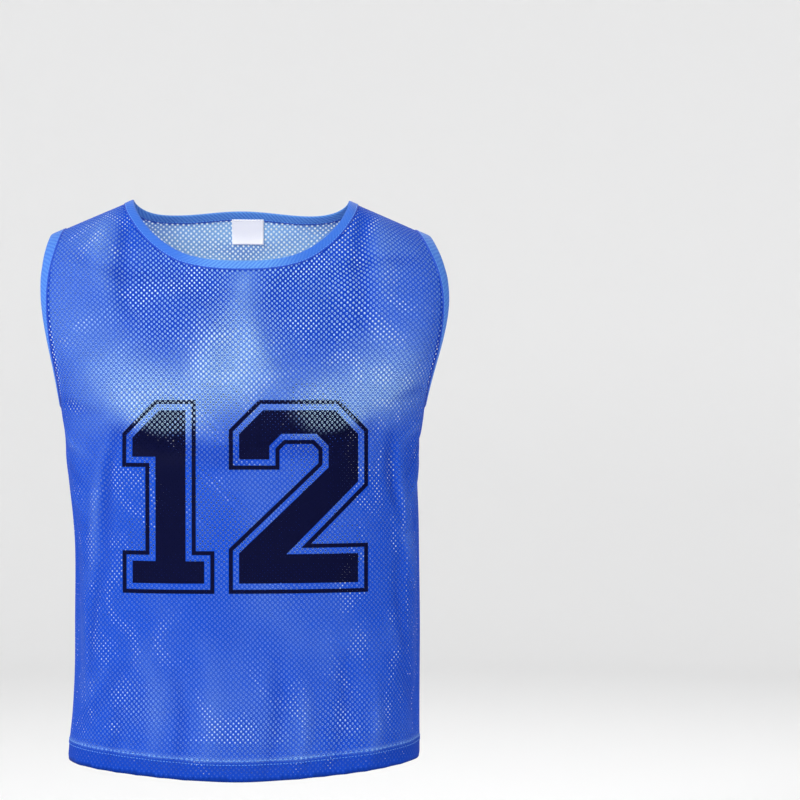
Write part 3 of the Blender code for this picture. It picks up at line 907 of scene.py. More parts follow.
def net_faces(rows, columns, odd):
    """The net between the holes: two strands and two halves of a knot for each hole."""
    top, right_up, right_down, bottom, left_down, left_up = range(6)

    def corner(row, column, place):
        return (row * columns + column) * 6 + place

    row, column = np.meshgrid(np.arange(1, rows - 1), np.arange(1, columns - 1), indexing="ij")
    shift = odd[row, column]
    above_right, above_left = column + shift, column + shift - 1
    faces = [
        (corner(row, column, top), corner(row, column, right_up),
         corner(row + 1, above_right, bottom), corner(row + 1, above_right, left_down)),
        (corner(row, column, left_up), corner(row, column, top),
         corner(row + 1, above_left, right_down), corner(row + 1, above_left, bottom)),
        (corner(row, column, right_down), corner(row - 1, above_right, top),
         corner(row + 1, above_right, bottom), corner(row, column, right_up)),
        (corner(row - 1, above_right, top), corner(row, column + 1, left_down),
         corner(row, column + 1, left_up), corner(row + 1, above_right, bottom)),
    ]
    return np.concatenate([np.stack(face, axis=-1).reshape(-1, 4) for face in faces])


def doubled_net(from_hem):
    """1 where the hem doubles the net and 0 above it."""
    return smooth_step((HEM_TURN - np.abs(from_hem)) / HEM_RIDGE_HALF_WIDTH)


def welded(faces, on_fold, columns):
    """The faces with one corner on the fold for each half column of cells. The outermost row's
    corner stands for the rest."""
    corners = np.flatnonzero(on_fold)[::-1]
    _, first, which = np.unique(columns[corners], return_index=True, return_inverse=True)
    same = np.arange(len(on_fold))
    same[corners] = corners[first][which.ravel()]
    return same[faces]


def without_doubles(faces):
    """The faces as lists, without the corners that they name twice in a row."""
    doubles = faces == np.roll(faces, 1, axis=1)
    return [[corner for corner, double in zip(face, row) if not double]
            for face, row in zip(faces.tolist(), doubles.tolist())]


def cloth_shade(chart, x, height, from_hem):
    """How much painted shade deepens the net: in troughs, beside the tapes and where its hem is doubled.
    """
    to_edge = np.minimum(chart.read(chart.neck_distance, x, height),
                         chart.read(chart.arm_distance, x, height))
    beside_tape = smooth_step((TAPE_WIDTH + TAPE_SHADOW - to_edge) / TAPE_SHADOW)
    trough = TROUGH_SHADE * np.maximum(0.0, -chart.read(chart.lift, x, height))
    return np.maximum(HEM_SHADE * doubled_net(from_hem), TAPE_SHADE * beside_tape) + trough


def build_net(chart, material):
    """One panel of net with its hem turned up inside."""
    side = chart.side
    rows, centre_x, centre_y = net_holes(chart)
    random = np.random.default_rng(NET_SEED[side])
    pale = patchwork(side, centre_x, centre_y, "light")
    shift_x, shift_y = grain_shift(side, centre_x, centre_y)
    opening = hole_opening(chart, centre_x + shift_x, centre_y + shift_y, pale)
    opening = (opening * (1.0 + HOLE_UNEVEN * random.uniform(-1.0, 1.0, opening.shape)))[..., None]
    shape = np.array([
        (0.0, HOLE_HALF_HEIGHT), (HOLE_HALF_WIDTH, HOLE_SIDE), (HOLE_HALF_WIDTH, -HOLE_SIDE),
        (0.0, -HOLE_HALF_HEIGHT), (-HOLE_HALF_WIDTH, -HOLE_SIDE), (-HOLE_HALF_WIDTH, HOLE_SIDE),
    ])
    looseness = NET_LOOSENESS[side]
    cell_x = centre_x[..., None] + opening * shape[:, 0] * looseness
    cell_y = centre_y[..., None] + opening * shape[:, 1] * looseness
    wander_x, wander_y = HOLE_WANDER * random.uniform(-1.0, 1.0, (2,) + centre_x.shape + (1,))
    shift_x, shift_y = grain_shift(side, cell_x, cell_y)
    x, y = (cell_x + shift_x + wander_x).ravel(), (cell_y + shift_y + wander_y).ravel()
    cell_x, cell_y = cell_x.ravel() / looseness, cell_y.ravel() / looseness
    cell_shape = centre_x.shape + (len(shape),)
    opening = np.broadcast_to(opening, cell_shape).ravel()
    faces = net_faces(*rows.shape, rows % 2)

    cell_from_hem = (y - chart.edge(chart.low, x)).reshape(cell_shape).mean(axis=-1)
    on_fold = np.repeat(np.abs(cell_from_hem).ravel() < HEM_FOLD_SNAP, len(shape))
    x = np.where(on_fold, np.repeat(centre_x.ravel(), len(shape)), x)
    hem, shoulder = chart.edge(chart.low, x), chart.edge(chart.high, x)
    beyond = (np.abs(x) > SEAM_TO_CENTRE) | (y > shoulder) | (y < hem - HEM_TURN)
    x = np.clip(x, -SEAM_TO_CENTRE, SEAM_TO_CENTRE)
    y = np.clip(y, hem - HEM_TURN, shoulder)
    from_hem = np.where(on_fold, 0.0, y - hem)
    height = hem + np.abs(from_hem)
    bare = ((chart.read(chart.neck_distance, x, height) < NET_UNDER_TAPE)
            | (chart.read(chart.arm_distance, x, height) < NET_UNDER_TAPE))
    keep = ~bare[faces].any(axis=1) & ~beyond[faces].all(axis=1)
    half_columns = np.rint(2 * centre_x / (NET_CELL_WIDTH * looseness)).astype(int)
    faces = welded(faces[keep], on_fold, np.repeat(half_columns.ravel(), len(shape)))
    faces = faces[(faces != np.roll(faces, 1, axis=1)).sum(axis=1) > 2]
    if side == "back":
        faces = faces[:, ::-1]
    used, faces = np.unique(faces, return_inverse=True)
    faces = faces.reshape(-1, 4)
    x, y, height, from_hem = x[used], y[used], height[used], from_hem[used]
    lift = -HEM_LAYER * (0.5 - 0.5 * np.clip(from_hem / HEM_ROUND, -1.0, 1.0))
    lift = lift + HEM_RIDGE * np.exp(-((from_hem - HEM_RIDGE_AT) / HEM_RIDGE_HALF_WIDTH) ** 2)
    points, normals = chart.cloth(x, height)
    points = points + normals * lift[:, None]
    in_cell = np.stack((cell_x[used], cell_y[used]), axis=-1)
    # Painted highlight on the crease ridges
    ridge_highlight = RIDGE_HIGHLIGHT * np.maximum(0.0, chart.read(chart.lift, x, height))
    # Painted highlight along the hem's top line
    from_line = (np.abs(from_hem) - HEM_LINE_AT) / HEM_LINE_HALF_WIDTH
    hem_highlight = HEM_LINE_HIGHLIGHT * np.exp(-from_line ** 2)
    dots = patchwork(side, x, height, "dots", DOTS_EVERYWHERE)
    dots = dots * (1.0 - HEM_CALM * doubled_net(from_hem))
    # The pale value carries painted light: the patches' paleness (painted shade below 0) and the
    # highlights on crease ridges and on the hem's top line; dots sets the painted rims round the holes
    return make_piece(side + "_net", points, without_doubles(faces), material,
                      maps=[("print", print_places(side, points)), ("cell", in_cell)],
                      values=[("pale", patchwork(side, x, height, "light") + ridge_highlight + hem_highlight),
                              ("opening", opening[used]), ("dots", dots),
                              ("shade", cloth_shade(chart, x, height, from_hem))])


# Bindings


def quarter_curve(squareness):
    """A rounded corner from (0, 1) to (1, 0), as many points."""
    angles = np.linspace(0.0, pi / 2, RING_SAMPLES)
    power = 2.0 / squareness
    sideways, down = np.sin(angles) ** power, np.maximum(0.0, np.cos(angles)) ** power
    down[-1] = 0.0
    return sideways, down


def evenly(across, up, count):
    """Places along a line of the form, evenly by length."""
    steps = np.hypot(np.diff(across) * SEAM_TO_CENTRE, np.diff(up) * FOLD_ROW_HEIGHT)
    along = running_length(steps)
    wanted = np.linspace(0.0, along[-1], count + 1)
    return np.interp(wanted, along, across), np.interp(wanted, along, up)


def neck_edge(side, count):
    """The neck opening's edge from the left shoulder seam to the right one."""
    sideways, down = quarter_curve(NECK_SQUARENESS[side])
    across, up = evenly(NECK_EDGE * sideways, 2.0 - NECK_DROP[side] * down, count)
    return np.concatenate((-across[:0:-1], across)), np.concatenate((up[:0:-1], up))


def armhole_edge(hand, count):
    """The armhole's edge from the underarm to the shoulder seam."""
    scoop, below = quarter_curve(ARMHOLE_SQUARENESS)
    across, up = 1.0 - (1.0 - ARMHOLE_EDGE) * scoop, 2.0 - (1.0 - UNDERARM_UP) * below
    across, up = evenly(across, up, count)
    return hand * across, up


def inward_moves(side, across, up, hollow):
    """How across and up change for each millimetre into the cloth from an opening's edge."""
    places = smooth_form(side, across, up)
    sideways, upward = slopes(smooth_form, side, across, up)
    normals = np.cross(sideways, upward)
    tangents = np.concatenate((places[1:2] - places[:1], places[2:] - places[:-2],
                               places[-1:] - places[-2:-1]))
    inward = np.cross(normals, tangents)
    inward = np.where((up >= 2.0)[:, None], sideways, inward)
    inward = np.where((np.abs(across) >= 1.0)[:, None], upward, inward)
    away = np.sign(np.sum(inward * (places - hollow), axis=1, keepdims=True))
    inward = unit(inward) * away
    across_across, across_up = np.sum(sideways ** 2, axis=1), np.sum(sideways * upward, axis=1)
    up_up = np.sum(upward ** 2, axis=1)
    to_across, to_up = np.sum(sideways * inward, axis=1), np.sum(upward * inward, axis=1)
    whole = across_across * up_up - across_up ** 2
    return ((to_across * up_up - to_up * across_up) / whole,
            (to_up * across_across - to_across * across_up) / whole)


def tape_profile():
    """The folded tape's cross-section: width from the opening's edge, and height off the cloth."""
    inner = [(width, -height) for width, height in TAPE_OUTER_FACE[:0:-1]]
    return list(TAPE_OUTER_FACE) + inner


def tape_sections(side, across, up, hollow, profile):
    """The tape's cross-sections along one side's opening edge."""
    move_across, move_up = inward_moves(side, across, up, hollow)
    rails = []
    for width, height in profile:
        rail_across = np.clip(across + width * move_across, -1.0, 1.0)
        rail_up = np.clip(up + width * move_up, 0.0, 2.0)
        rails.append(form(side, rail_across, rail_up)
                     + height * outward_normals(form, side, rail_across, rail_up))
    return np.stack(rails, axis=1)


def join_ring(front, back):
    """The front's and back's sections as one closed ring."""
    start, end = (front[0] + back[0]) / 2, (front[-1] + back[-1]) / 2
    return np.concatenate(([start], front[1:-1], [end], back[-2:0:-1]))


def tape_ring(edges, hollow, profile):
    """The tape's cross-sections all round an opening."""
    return join_ring(*(tape_sections(side, *edges[side], hollow, profile) for side in OUTWARD))


def ring_faces(stations, places):
    """The faces of a closed ring of closed sections."""
    station, place = np.meshgrid(np.arange(stations), np.arange(places), indexing="ij")
    after, following = (station + 1) % stations, (place + 1) % places
    corners = (station * places + place, station * places + following,
               after * places + following, after * places + place)
    return np.stack(corners, axis=-1).reshape(-1, 4)


def tape_shade(name, points):
    """How much painted shade deepens a tape on the front, out from the centre."""
    outwards = smooth_step((np.abs(points[:, 0]) - TAPE_PAINTED_SHADE_FROM) / TAPE_PAINTED_SHADE_OVER)
    return TAPE_PAINTED_SHADE[name] * outwards * (points[:, 1] < 0.0)


def build_binding(name, edges, hollow, material, node):
    """A ring of folded tape round one opening."""
    profile = tape_profile()
    sections = tape_ring(edges, hollow, profile)
    for _ in range(TAPE_SMOOTHING):
        sections = (np.roll(sections, 1, axis=0) + 2 * sections + np.roll(sections, -1, axis=0)) / 4
    stations, places = sections.shape[:2]
    rail = sections[:, 0]
    steps = np.linalg.norm(np.roll(rail, -1, axis=0) - rail, axis=1)
    along = running_length(steps)[:-1]
    widths = np.array([width for width, _ in profile])
    places_on_tape = np.stack(np.meshgrid(along, widths, indexing="ij"), axis=-1).reshape(-1, 2)
    points = sections.reshape(-1, 3)
    piece = make_piece(name, points, ring_faces(stations, places), material,
                       maps=[("pattern", places_on_tape)],
                       values=[("shade", tape_shade(name, points))])
    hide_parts(node)
    return piece


# Threads


def along_path(points, wanted):
    """Points of a path at some distances along it."""
    steps = np.linalg.norm(np.diff(points, axis=0), axis=1)
    along = running_length(steps)
    return np.stack([np.interp(wanted, along, points[:, axis]) for axis in range(3)], axis=-1)


def path_length(points):
    """How long a path is."""
    return np.linalg.norm(np.diff(points, axis=0), axis=1).sum()


def build_stitches(name, rows, material):
    """Rows of stitches. A row is a path and the same path one millimetre further out. Each stitch
    is a short thread that comes up out of the cloth and goes down again."""
    count = len(STITCH_DIPS)
    points, faces = [], []
    for path, outer in rows:
        starts = np.arange(0.0, path_length(path) - STITCH_LENGTH, STITCH_LENGTH + STITCH_GAP)
        wanted = (starts[:, None] + np.linspace(0.0, STITCH_LENGTH, count)).ravel()
        share = path_length(outer) / path_length(path)
        middle = along_path(path, wanted)
        out = unit(along_path(outer, wanted * share) - middle)
        beside = np.cross(unit(np.gradient(middle, axis=0)), out)
        girth = np.tile(STITCH_GIRTHS * THREAD_RADIUS, len(starts))[:, None]
        middle = middle + out * np.tile(STITCH_DIPS, len(starts))[:, None]
        base = len(points) * 4
        rings = np.stack((middle + beside * girth, middle + out * girth,
                          middle - beside * girth, middle - out * girth), axis=1)
        points.extend(rings)
        for stitch in range(len(starts)):
            first = base + stitch * count * 4
            for ring in range(count - 1):
                for corner in range(4):
                    low, high = first + ring * 4 + corner, first + ring * 4 + (corner + 1) % 4
                    faces.append((low, high, high + 4, low + 4))
            last = first + (count - 1) * 4
            faces.append((first + 3, first + 2, first + 1, first))
            faces.append((last, last + 1, last + 2, last + 3))
    piece = make_piece(name, np.concatenate(points), faces, material)
    return piece


def pattern_path(chart, x, y, lift):
    """A path on the cloth, and the same path a millimetre further out."""
    points, normals = chart.cloth(x, y)
    return points + normals * lift, points + normals * (lift + OUTWARD_STEP)


def hem_stitch_rows(charts):
    """Two rows of stitches where the turned-up hem ends, outside and inside."""
    end = SEAM_TO_CENTRE - HEM_STITCH_ENDS
    x = np.linspace(-end, end, HEM_STITCH_POINTS)
    rows = []
    for chart in charts.values():
        hem = chart.edge(chart.low, x)
        for height in HEM_STITCH_ROWS:
            rows.append(pattern_path(chart, x, hem + height, THREAD_LIFT))
            path, inner = pattern_path(chart, x, hem + height, -HEM_LAYER - THREAD_LIFT)
            rows.append((path, 2 * path - inner))
    return rows


def tape_stitch_rows(edges, hollow):
    """A row of stitches near the tape's inner edge, outside and inside."""
    rows = []
    for face in (1.0, -1.0):
        lifts = (TAPE_STITCH_LIFT, TAPE_STITCH_LIFT + OUTWARD_STEP)
        sections = tape_ring(edges, hollow, [(TAPE_STITCH, face * lift) for lift in lifts])
        rows.append((sections[:, 0], sections[:, 1]))
    return rows


def build_seam(name, chart, x, y, inwards, material):
    """A sewn seam allowance, lying flat inside along a path on the back panel's pattern."""
    steps = np.array(SEAM_PROFILE)
    reach_x, reach_y = inwards
    across = x[:, None] + reach_x * steps[:, 0]
    along = y[:, None] + reach_y * steps[:, 0]
    points, normals = chart.cloth(across, along)
    points = points - normals * steps[:, 1, None]
    low = points - normals * SEAM_THICKNESS
    lengths = running_length(np.hypot(np.diff(x), np.diff(y)))
    places = np.stack(np.broadcast_arrays(lengths[:, None], steps[:, 0]), axis=-1).reshape(-1, 2)
    piece = make_shell(name, low, points, places, material)
    return piece


def build_seams(chart, material):
    """The allowances of both side seams and both shoulder seams."""
    pieces = []
    underarm = chart.heights[np.argmax(chart.arm_distance[0] < TAPE_WIDTH)]
    shoulder = NECK_HALF_WIDTH + TAPE_WIDTH, NECK_HALF_WIDTH + SHOULDER_LENGTH - TAPE_WIDTH
    for hand, name in ((-1.0, "left"), (1.0, "right")):
        y = np.linspace(chart.low[0] + SEAM_ABOVE_HEM, underarm, SIDE_SEAM_POINTS)
        x = np.full(SIDE_SEAM_POINTS, hand * (SEAM_TO_CENTRE - SEAM_PROFILE_START))
        pieces.append(build_seam("side_seam_" + name, chart, x, y, (-hand, 0.0), material))
        x = hand * np.linspace(*shoulder, SHOULDER_SEAM_POINTS)
        y = chart.edge(chart.high, x) - SEAM_PROFILE_START
        pieces.append(build_seam("shoulder_seam_" + name, chart, x, y, (0.0, -1.0), material))
    return pieces


# Label


def build_label(chart, material):
    """A woven label below the back neck tape, inside. It is left bare."""
    centre = CHART_COLUMNS // 2
    top = np.interp(TAPE_WIDTH - LABEL_UNDER_TAPE, chart.neck_distance[centre][::-1],
                    chart.heights[::-1])
    across, down = np.meshgrid(np.linspace(-0.5, 0.5, LABEL_POINTS),
                               np.linspace(0.0, 1.0, LABEL_POINTS), indexing="ij")
    x, y = LABEL_CENTRE + across * LABEL_WIDTH, top - down * LABEL_HEIGHT
    points, normals = chart.cloth(x, y)
    curl = LABEL_CURL * down ** LABEL_CURL_LATE * (LABEL_CURL_CENTRE + np.abs(across))
    bulge = LABEL_BULGE * np.cos(across * pi) * np.sin(down * pi) + curl
    near = points - normals * (LABEL_OFF_NET + bulge)[..., None]
    far = near - normals * LABEL_THICKNESS
    places = np.stack((x, y - top), axis=-1).reshape(-1, 2)
    piece = make_shell("woven_label", far, near, places, material)
    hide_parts("neck_label")
    line = np.linspace(-0.5, 0.5, LABEL_STITCH_POINTS) * (LABEL_WIDTH - LABEL_STITCH_MARGIN)
    path, outer = pattern_path(chart, LABEL_CENTRE + line, np.full(len(line), top - LABEL_STITCH_DOWN),
                               -(LABEL_OFF_NET + LABEL_THICKNESS + LABEL_STITCH_LIFT))
    return piece, [(path, 2 * path - outer)]


# Materials


def shader_of(name):
    """A new material, its node tree and its main shader."""
    material = bpy.data.materials.new(name)
    material.use_nodes = True
    shader = material.node_tree.nodes["Principled BSDF"]
    for socket, value in SURFACES[name].items():
        shader.inputs[socket].default_value = value
    return material, material.node_tree, shader


def put(tree, socket, value):
    """Feeds a socket from another socket or sets it to a value."""
    if isinstance(value, bpy.types.NodeSocket):
        tree.links.new(value, socket)
    else:
        socket.default_value = value


def math(tree, operation, *values, clamp=False):
    """The output of a maths node."""
    node = tree.nodes.new("ShaderNodeMath")
    node.operation = operation
    node.use_clamp = clamp
    for socket, value in zip(node.inputs, values):
        put(tree, socket, value)
    return node.outputs["Value"]


def vector(tree, operation, *values):
    """The vector output of a vector maths node, or its number where it gives one."""
    node = tree.nodes.new("ShaderNodeVectorMath")
    node.operation = operation
    for socket, value in zip(node.inputs, values):
        put(tree, socket, value)
    gives_number = operation in ("DOT_PRODUCT", "LENGTH", "DISTANCE")
    return node.outputs["Value" if gives_number else "Vector"]


def mix_colours(tree, share, low, high):
    """Two colours mixed by a share."""
    node = tree.nodes.new("ShaderNodeMix")
    node.data_type = "RGBA"
    put(tree, node.inputs["Factor"], share)
    for name, value in (("A", low), ("B", high)):
        socket = next(s for s in node.inputs if s.name == name and s.type == "RGBA")
        put(tree, socket, value if isinstance(value, bpy.types.NodeSocket) else (*value, 1.0))
    return next(s for s in node.outputs if s.type == "RGBA")


def in_millimetres(tree, map_name):
    """A UV map's place in millimetres."""
    node = tree.nodes.new("ShaderNodeUVMap")
    node.uv_map = map_name
    return vector(tree, "MULTIPLY", node.outputs["UV"], (1 / MILLIMETRE, 1 / MILLIMETRE, 0.0))


def attribute(tree, name):
    """The number that the mesh holds under a name."""
    node = tree.nodes.new("ShaderNodeAttribute")
    node.attribute_name = name
    return node.outputs["Fac"]


def noise(tree, place, scale, detail=2.0):
    """Soft noise, its scale given as a number of swings in a unit of place."""
    node = tree.nodes.new("ShaderNodeTexNoise")
    put(tree, node.inputs["Vector"], place)
    node.inputs["Scale"].default_value = scale
    node.inputs["Detail"].default_value = detail
    return node.outputs["Fac"]


def bump(tree, height, distance, strength):
    """A bumpy normal."""
    node = tree.nodes.new("ShaderNodeBump")
    node.inputs["Strength"].default_value = strength
    node.inputs["Distance"].default_value = distance
    put(tree, node.inputs["Height"], height)
    return node.outputs["Normal"]


def ink_mask(tree):
    """1 where the number is printed: a thin outline, a gap, and the filled digits."""
    place = vector(tree, "ADD", in_millimetres(tree, "print"), (0.0, 0.0, 1.0))
    depth = None
    for part in number_parts():
        inner = None
        for side in part:
            distance = vector(tree, "DOT_PRODUCT", place, side)
            inner = distance if inner is None else math(tree, "MINIMUM", inner, distance)
        depth = inner if depth is None else math(tree, "MAXIMUM", depth, inner)
    outline = math(tree, "MULTIPLY", math(tree, "GREATER_THAN", depth, 0.0),
                   math(tree, "LESS_THAN", depth, OUTLINE_INK))
    filled = math(tree, "GREATER_THAN", depth, OUTLINE_INK + OUTLINE_GAP)
    return math(tree, "ADD", outline, filled, clamp=True)


def hole_distance(tree):
    """The distance from the nearest hole's centre, where 1 is a wide open hole's rim."""
    place = in_millimetres(tree, "cell")
    distances = []
    for shift in ((0.0, 0.0, 0.0), (NET_CELL_WIDTH / 2, NET_ROW_HEIGHT, 0.0)):
        parts = tree.nodes.new("ShaderNodeSeparateXYZ")
        put(tree, parts.inputs["Vector"], vector(tree, "ADD", place, shift))
        beside = math(tree, "PINGPONG", parts.outputs["X"], NET_CELL_WIDTH / 2)
        above = math(tree, "PINGPONG", parts.outputs["Y"], NET_ROW_HEIGHT)
        beside = math(tree, "DIVIDE", beside, HOLE_HALF_WIDTH)
        above = math(tree, "DIVIDE", above, HOLE_HALF_HEIGHT)
        square = math(tree, "ADD", math(tree, "MULTIPLY", beside, beside),
                      math(tree, "MULTIPLY", above, above))
        distances.append(math(tree, "SQRT", square))
    return math(tree, "MINIMUM", *distances)


def net_material():
    """Knitted polyester net with a printed number."""
    material, tree, shader = shader_of("net")
    cell = in_millimetres(tree, "cell")
    # pale brings painted light, dots the painted rims round the holes, and the shade value painted shade
    pale, dots, deeper = (attribute(tree, name) for name in ("pale", "dots", "shade"))
    cloud = math(tree, "SUBTRACT", noise(tree, cell, CLOUD_SCALE), 0.5)
    pale = math(tree, "ADD", pale, math(tree, "MULTIPLY", cloud, CLOUD_SHARE))
    # The painted shade also takes paleness away
    pale = math(tree, "SUBTRACT", pale, math(tree, "MULTIPLY", deeper, SHADE_DULLS), clamp=True)
    distance = hole_distance(tree)
    strand = math(tree, "SUBTRACT", distance, attribute(tree, "opening"))
    strand = math(tree, "DIVIDE", strand, RIM_REACH, clamp=True)
    knot = math(tree, "DIVIDE", math(tree, "SUBTRACT", distance, KNOT_FROM), RIM_REACH, clamp=True)
    yarn = noise(tree, cell, YARN_SCALE, FINE_DETAIL)
    cloth = mix_colours(tree, pale, NET_DEEP, NET_PALE)
    shade = math(tree, "ADD", math(tree, "MULTIPLY", yarn, YARN_SHADE), deeper)
    knot_shade = math(tree, "MULTIPLY", knot, math(tree, "MULTIPLY", dots, KNOT_SHADE))
    cloth = mix_colours(tree, math(tree, "ADD", shade, knot_shade, clamp=True), cloth, NET_SHADE)
    # Pale rims round the holes, painted light seen through them
    near_hole = math(tree, "SUBTRACT", 1.0, strand)
    cloth = mix_colours(tree, math(tree, "MULTIPLY", near_hole, dots, clamp=True), cloth, NET_RIM_LIGHT)
    # Where the painted light is strong, pale rims of painted light show through the print round the holes
    light_through_print = math(tree, "SUBTRACT", pale, PRINT_SHOWS_LIGHT_AT)
    light_through_print = math(tree, "MULTIPLY", light_through_print, PRINT_LIGHT_RISE, clamp=True)
    painted_rim_light = math(tree, "MULTIPLY", math(tree, "MULTIPLY", near_hole, LIT_RIM_SPREAD, clamp=True), light_through_print)
    ink = math(tree, "MULTIPLY", ink_mask(tree), math(tree, "SUBTRACT", 1.0, painted_rim_light), clamp=True)
    colour = mix_colours(tree, ink, mix_colours(tree, painted_rim_light, cloth, NET_RIM_LIGHT), INK)
    put(tree, shader.inputs["Base Color"], colour)
    smoother = math(tree, "MULTIPLY", ink, INK_SMOOTHER)
    put(tree, shader.inputs["Roughness"], math(tree, "SUBTRACT", NET_ROUGHNESS, smoother))
    height = math(tree, "ADD", strand, math(tree, "MULTIPLY", yarn, YARN_HEIGHT))
    put(tree, shader.inputs["Normal"], bump(tree, height, *NET_BUMP))
    see_through(tree, shader, colour, NET_GLOW)
    return material


def see_through(tree, shader, colour, share):
    """Lets light from behind glow through thin cloth."""
    glow = tree.nodes.new("ShaderNodeBsdfTranslucent")
    put(tree, glow.inputs["Color"], colour)
    mixed = tree.nodes.new("ShaderNodeMixShader")
    mixed.inputs["Fac"].default_value = share
    tree.links.new(shader.outputs["BSDF"], mixed.inputs[1])
    tree.links.new(glow.outputs["BSDF"], mixed.inputs[2])
    tree.links.new(mixed.outputs["Shader"], tree.nodes["Material Output"].inputs["Surface"])


def tape_material():
    """Knitted tape with fine slanting ribs."""
    material, tree, shader = shader_of("binding")
    place = in_millimetres(tree, "pattern")
    ribs = tree.nodes.new("ShaderNodeTexWave")
    ribs.wave_type = "BANDS"
    ribs.bands_direction = "DIAGONAL"
    put(tree, ribs.inputs["Vector"], place)
    ribs.inputs["Scale"].default_value = RIB_SCALE
    ribs.inputs["Distortion"].default_value = RIB_DISTORTION
    ribs.inputs["Detail Scale"].default_value = RIB_DETAIL
    speckle = noise(tree, place, SPECKLE_SCALE, FINE_DETAIL)
    share = math(tree, "MULTIPLY", math(tree, "ADD", ribs.outputs["Fac"], speckle), 0.5)
    parts = tree.nodes.new("ShaderNodeSeparateXYZ")
    put(tree, parts.inputs["Vector"], place)
    width = parts.outputs["Y"]
    folded = math(tree, "SUBTRACT", 1.0, math(tree, "DIVIDE", width, FOLDED_EDGE), clamp=True)
    sewn = math(tree, "SUBTRACT", width, SEWN_EDGE_FROM)
    sewn = math(tree, "MULTIPLY", sewn, SEWN_EDGE_SLOPE, clamp=True)
    colour = mix_colours(tree, share, TAPE_BLUE, TAPE_PALE)
    # Painted highlight on the folded edge, painted shade on the front towards the shoulders and along the
    # sewn edge
    for part, colour_there in ((math(tree, "MULTIPLY", folded, FOLD_HIGHLIGHT_SHARE), TAPE_PALE),
                               (attribute(tree, "shade"), TAPE_BLUE),
                               (math(tree, "MULTIPLY", sewn, SEAM_SHADE_SHARE), TAPE_SEAM_SHADE)):
        colour = mix_colours(tree, part, colour, colour_there)
    put(tree, shader.inputs["Base Color"], colour)
    put(tree, shader.inputs["Normal"], bump(tree, share, *TAPE_BUMP))
    return material


def darker(colour, share):
    """A colour with its light cut down to a share."""
    return tuple(share * part for part in colour)


def thread_material(name, colour):
    """Twisted polyester sewing thread."""
    material, tree, shader = shader_of(name)
    place = tree.nodes.new("ShaderNodeTexCoord").outputs["Object"]
    twist = noise(tree, place, TWIST_SCALE, 1.0)
    put(tree, shader.inputs["Base Color"],
        mix_colours(tree, twist, darker(colour, TWIST_SHADE), colour))
    return material


def label_material():
    """Woven white label tape."""
    material, tree, shader = shader_of("label")
    weave = tree.nodes.new("ShaderNodeTexBrick")
    put(tree, weave.inputs["Vector"], in_millimetres(tree, "pattern"))
    weave.inputs["Scale"].default_value = WEAVE_SCALE
    weave.inputs["Mortar Size"].default_value = WEAVE_GAP
    put(tree, shader.inputs["Base Color"],
        mix_colours(tree, weave.outputs["Fac"], LABEL_WHITE, darker(LABEL_WHITE, WEAVE_SHADE)))
    put(tree, shader.inputs["Normal"], bump(tree, weave.outputs["Fac"], *LABEL_BUMP))
    return material


# Stage


def build_stage():
    """A plain pale floor that sweeps up all round."""
    line = [(STAGE_RADIUS + STAGE_SWEEP * sin(turn), STAGE_LEVEL + STAGE_SWEEP * (1 - cos(turn)))
            for turn in np.linspace(0.0, pi / 2, STAGE_SWEEP_POINTS)]
    line.append((STAGE_RADIUS + STAGE_SWEEP, STAGE_LEVEL + STAGE_HEIGHT))
    around = np.linspace(0.0, 2 * pi, STAGE_SIDES, endpoint=False)
    points = [(radius * cos(a), radius * sin(a), z) for radius, z in line for a in around]
    faces = [list(range(STAGE_SIDES))]
    for ring in range(len(line) - 1):
        for side in range(STAGE_SIDES):
            after = (side + 1) % STAGE_SIDES
            low, high = ring * STAGE_SIDES, (ring + 1) * STAGE_SIDES
            faces.append((low + side, high + side, high + after, low + after))
    data = bpy.data.meshes.new("stage")
    data.from_pydata(points, [], faces)
    data.shade_smooth()
    data.materials.append(shader_of("stage")[0])
    add_object("stage", data)


def aim(item, place, target):
    """Stands a light or the camera at a place, turned to its target."""
    item.location = place
    item.rotation_euler = (Vector(target) - Vector(place)).to_track_quat("-Z", "Y").to_euler()


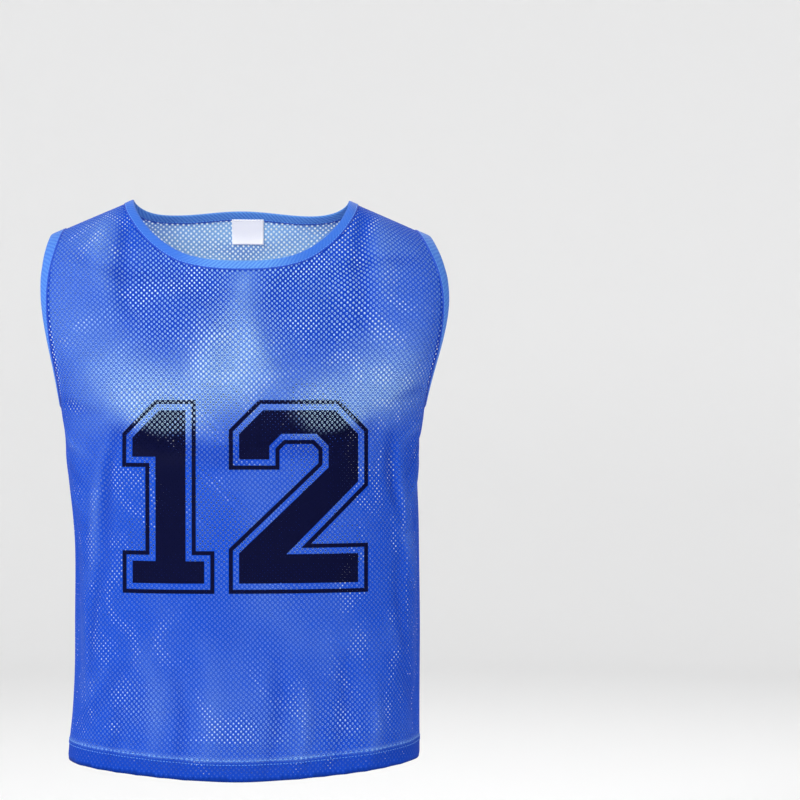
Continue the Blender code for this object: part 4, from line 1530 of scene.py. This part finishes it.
def build_lights():
    """Three soft lights and an even sky."""
    for name, (place, size, power) in LIGHTS.items():
        data = bpy.data.lights.new(name, "AREA")
        data.shape = "DISK"
        data.size = size
        data.energy = power
        aim(add_object(name, data), place, LIGHTS_TARGET)
    world = bpy.data.worlds.new("studio")
    world.use_nodes = True
    background = world.node_tree.nodes["Background"]
    background.inputs["Color"].default_value = (1.0, 1.0, 1.0, 1.0)
    background.inputs["Strength"].default_value = SKY_STRENGTH
    bpy.context.scene.world = world


def build_camera():
    """The camera at the photo's angle."""
    data = bpy.data.cameras.new("camera")
    data.sensor_width = SENSOR_WIDTH
    data.lens = LENS
    camera = add_object("camera", data)
    aim(camera, CAMERA_PLACE, CAMERA_TARGET)
    bpy.context.scene.camera = camera


def build_bindings(tape):
    """The neck's and both armholes' tapes, and the rows that sew them on."""
    edges = {side: neck_edge(side, NECK_STATIONS) for side in OUTWARD}
    openings = [("neck_tape", "neck_binding", edges, NECK_HOLLOW)]
    for hand, name in ((-1, "left"), (1, "right")):
        hollow = np.array((hand * ARMHOLE_HOLLOW_X, 0.0, ARMHOLE_HOLLOW_Z))
        edges = {side: armhole_edge(hand, ARMHOLE_STATIONS) for side in OUTWARD}
        openings.append(("armhole_tape_" + name, "armhole_binding_" + name, edges, hollow))
    tapes, rows = [], []
    for name, node, edges, hollow in openings:
        tapes.append(build_binding(name, edges, hollow, tape, node))
        rows += tape_stitch_rows(edges, hollow)
    return tapes, rows


def main():
    """Builds the whole scene."""
    for item in list(bpy.data.objects):
        bpy.data.objects.remove(item, do_unlink=True)
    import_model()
    bpy.context.scene.view_settings.view_transform = "Standard"
    build_camera()
    build_lights()
    build_stage()
    net, tape, label = net_material(), tape_material(), label_material()
    thread = thread_material("thread", THREAD_BLUE)
    white_thread = thread_material("label_thread", LABEL_WHITE)
    charts = {side: Chart(side) for side in OUTWARD}
    tapes, tape_rows = build_bindings(tape)
    label_piece, label_rows = build_label(charts["back"], label)
    extras = {
        "front": [build_stitches("tape_stitches", tape_rows, thread),
                  build_stitches("hem_stitches", hem_stitch_rows(charts), thread)] + tapes,
        "back": [label_piece, build_stitches("label_stitches", label_rows, white_thread)],
    }
    extras["back"] += build_seams(charts["back"], tape)
    for side, chart in charts.items():
        panel = build_net(chart, net)
        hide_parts(side + "_panel")
        chart.flat_area(HEM_TURN) * MILLIMETRE ** 2


main()
